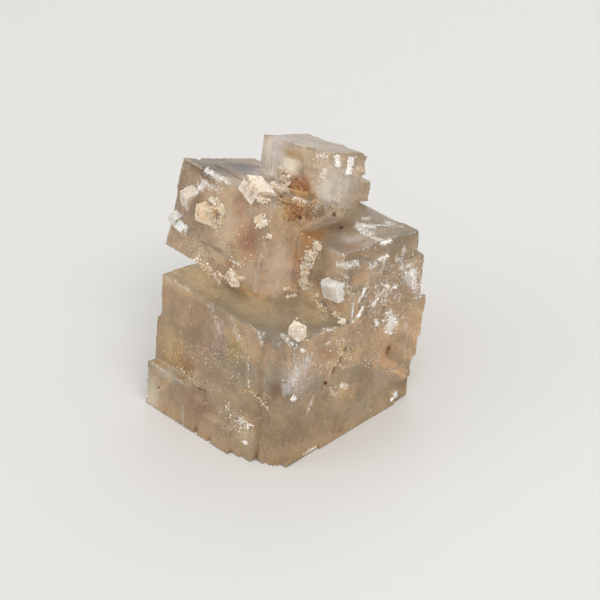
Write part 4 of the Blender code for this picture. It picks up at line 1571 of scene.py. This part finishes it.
VEILS = (
    Veil((300, 376), 1.2, (70, 10, 80), (7.0, 5.0), 420),
    Veil((385, 285), 1.4, (45, 0, 90), (9.0, 2.5), 360),
    Veil((372, 300), 1.0, (50, 5, 85), (8.0, 2.0), 300),
    Veil((225, 350), 1.5, (80, 0, 0), (10.0, 4.0), 260),
    Veil((250, 380), 2.0, (88, 5, 20), (9.0, 3.0), 220),
    Veil((345, 395), 1.6, (60, 20, 95), (8.0, 3.5), 260),
    Veil((380, 230), 1.0, (5, 5, 30), (9.0, 4.0), 300),
    Veil((272, 250), 2.0, (80, 0, 70), (7.0, 3.0), 140),
    Veil((345, 185), 1.5, (85, 0, 90), (6.0, 4.0), 160),
    Veil((285, 155), 1.2, (85, 0, 5), (6.0, 4.0), 160),
)


def build_veils(groups: Groups, skin: Skin) -> bpy.types.Object | None:
    """Makes one piece of all the veils.

    Args:
        groups: the shared node groups.
        skin: the faces behind which they lie.

    Returns:
        The piece.
    """
    heap = GrainHeap(SEED + 7)
    draw = heap.draw
    shallowest, thickness = 0.35 * MM, 0.05
    for veil in VEILS:
        foot = skin.at(veil.pixel)
        if foot is None:
            continue
        turn = LATTICE_TURN @ rotation(veil.degrees)
        middle = foot.point - foot.normal * (veil.depth + 0.3 * min(veil.size)) * MM
        for _ in range(veil.count):
            spread = Vector([draw.gauss(0, length / 3.5) for length in veil.size] + [draw.gauss(0, 0.25)])
            centre = middle + turn @ (spread * MM)
            side = draw.uniform(0.08, 0.42)
            inside = skin.tree.find_nearest(centre)
            if inside[0] is None or (centre - inside[0]).dot(inside[1]) > -shallowest:
                continue
            lean = Euler((draw.gauss(0, 0.2), draw.gauss(0, 0.2), draw.uniform(0, 3))).to_matrix()
            heap.add(SHARD, centre, turn @ lean, (side, side * draw.uniform(0.3, 1.0), thickness))
    return heap.build("inner_veils", VEIL.material(groups))


# ---------------------------------------------------------------- the studio


@dataclass(frozen=True)
class SoftLight:
    """A square soft light that faces the crystal.

    Attributes:
        name: its name.
        place: where it is.
        side: its side, in metres.
        power: its power, in watts.
        colour: its colour.
        aim: the place that it faces.
    """

    name: str
    place: Triple
    side: float
    power: float
    colour: Colour
    aim: Triple = (0.0, 0.0, 0.025)

    def build(self) -> None:
        """Adds the light to the scene."""
        data = bpy.data.lights.new(self.name, "AREA")
        data.size = self.side
        data.energy = self.power
        data.color = self.colour
        lamp = bpy.data.objects.new(self.name, data)
        lamp.location = self.place
        lamp.rotation_euler = (Vector(self.place) - Vector(self.aim)).to_track_quat("Z", "Y").to_euler()
        bpy.context.scene.collection.objects.link(lamp)


LIGHTS = (
    SoftLight("key", (0.45, -0.05, 0.75), 0.45, 3.0, (1.0, 0.98, 0.95)),
    SoftLight("fill", (-0.45, -0.60, 0.45), 0.60, 1.0, (1.0, 0.97, 0.93)),
    SoftLight("back", (-0.35, 0.55, 0.55), 0.40, 0.8, (0.95, 0.97, 1.0)),
)


@dataclass(frozen=True)
class Studio:
    """A pale floor, soft lights and a light grey surround."""

    floor_side: float = 6.0
    floor_colour: Colour = (0.62, 0.615, 0.60)
    floor_mottle: Colour = (0.6, 0.6, 0.6)
    surround: Colour = (0.90, 0.90, 0.90)
    surround_strength: float = 0.95

    def build(self) -> None:
        """Makes the floor, the lights and the surround."""
        bpy.context.scene.view_settings.view_transform = "Standard"
        self.floor()
        for light in LIGHTS:
            light.build()
        world = bpy.data.worlds.new("surround")
        bpy.context.scene.world = world
        world.use_nodes = True
        background = world.node_tree.nodes["Background"]
        background.inputs["Color"].default_value = (*self.surround, 1.0)
        background.inputs["Strength"].default_value = self.surround_strength

    def floor(self) -> None:
        """A large sheet with a faint mottle."""
        bpy.ops.mesh.primitive_plane_add(size=self.floor_side)
        floor = bpy.context.active_object
        floor.name = "floor"
        material, graph, shader, _ = principled("pale_floor")
        place = graph.node("ShaderNodeTexCoord").outputs["Object"]
        share = graph.math("MULTIPLY", graph.noise(place, scale=7.0), 0.12)
        graph.set(shader, Base_Color=graph.mix(share, self.floor_colour, self.floor_mottle), Roughness=0.7)
        floor.data.materials.append(material)


def main() -> None:
    """Builds the studio and every piece in order."""
    logging.basicConfig(level=logging.INFO, format="%(name)s %(message)s")
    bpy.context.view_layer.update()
    view = Viewpoint()
    view.make_camera()
    Studio().build()
    groups = Groups()
    skin = Skin(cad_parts[NODE], view)
    ClusterBody().build(groups, skin)
    for number, crystal in enumerate(SMALL_CRYSTALS):
        crystal.build(groups, number)
    for number, crust in enumerate(CRUSTS):
        crust.build(groups, skin, number)
    build_veils(groups, skin)


if __name__ == "__main__":
    main()
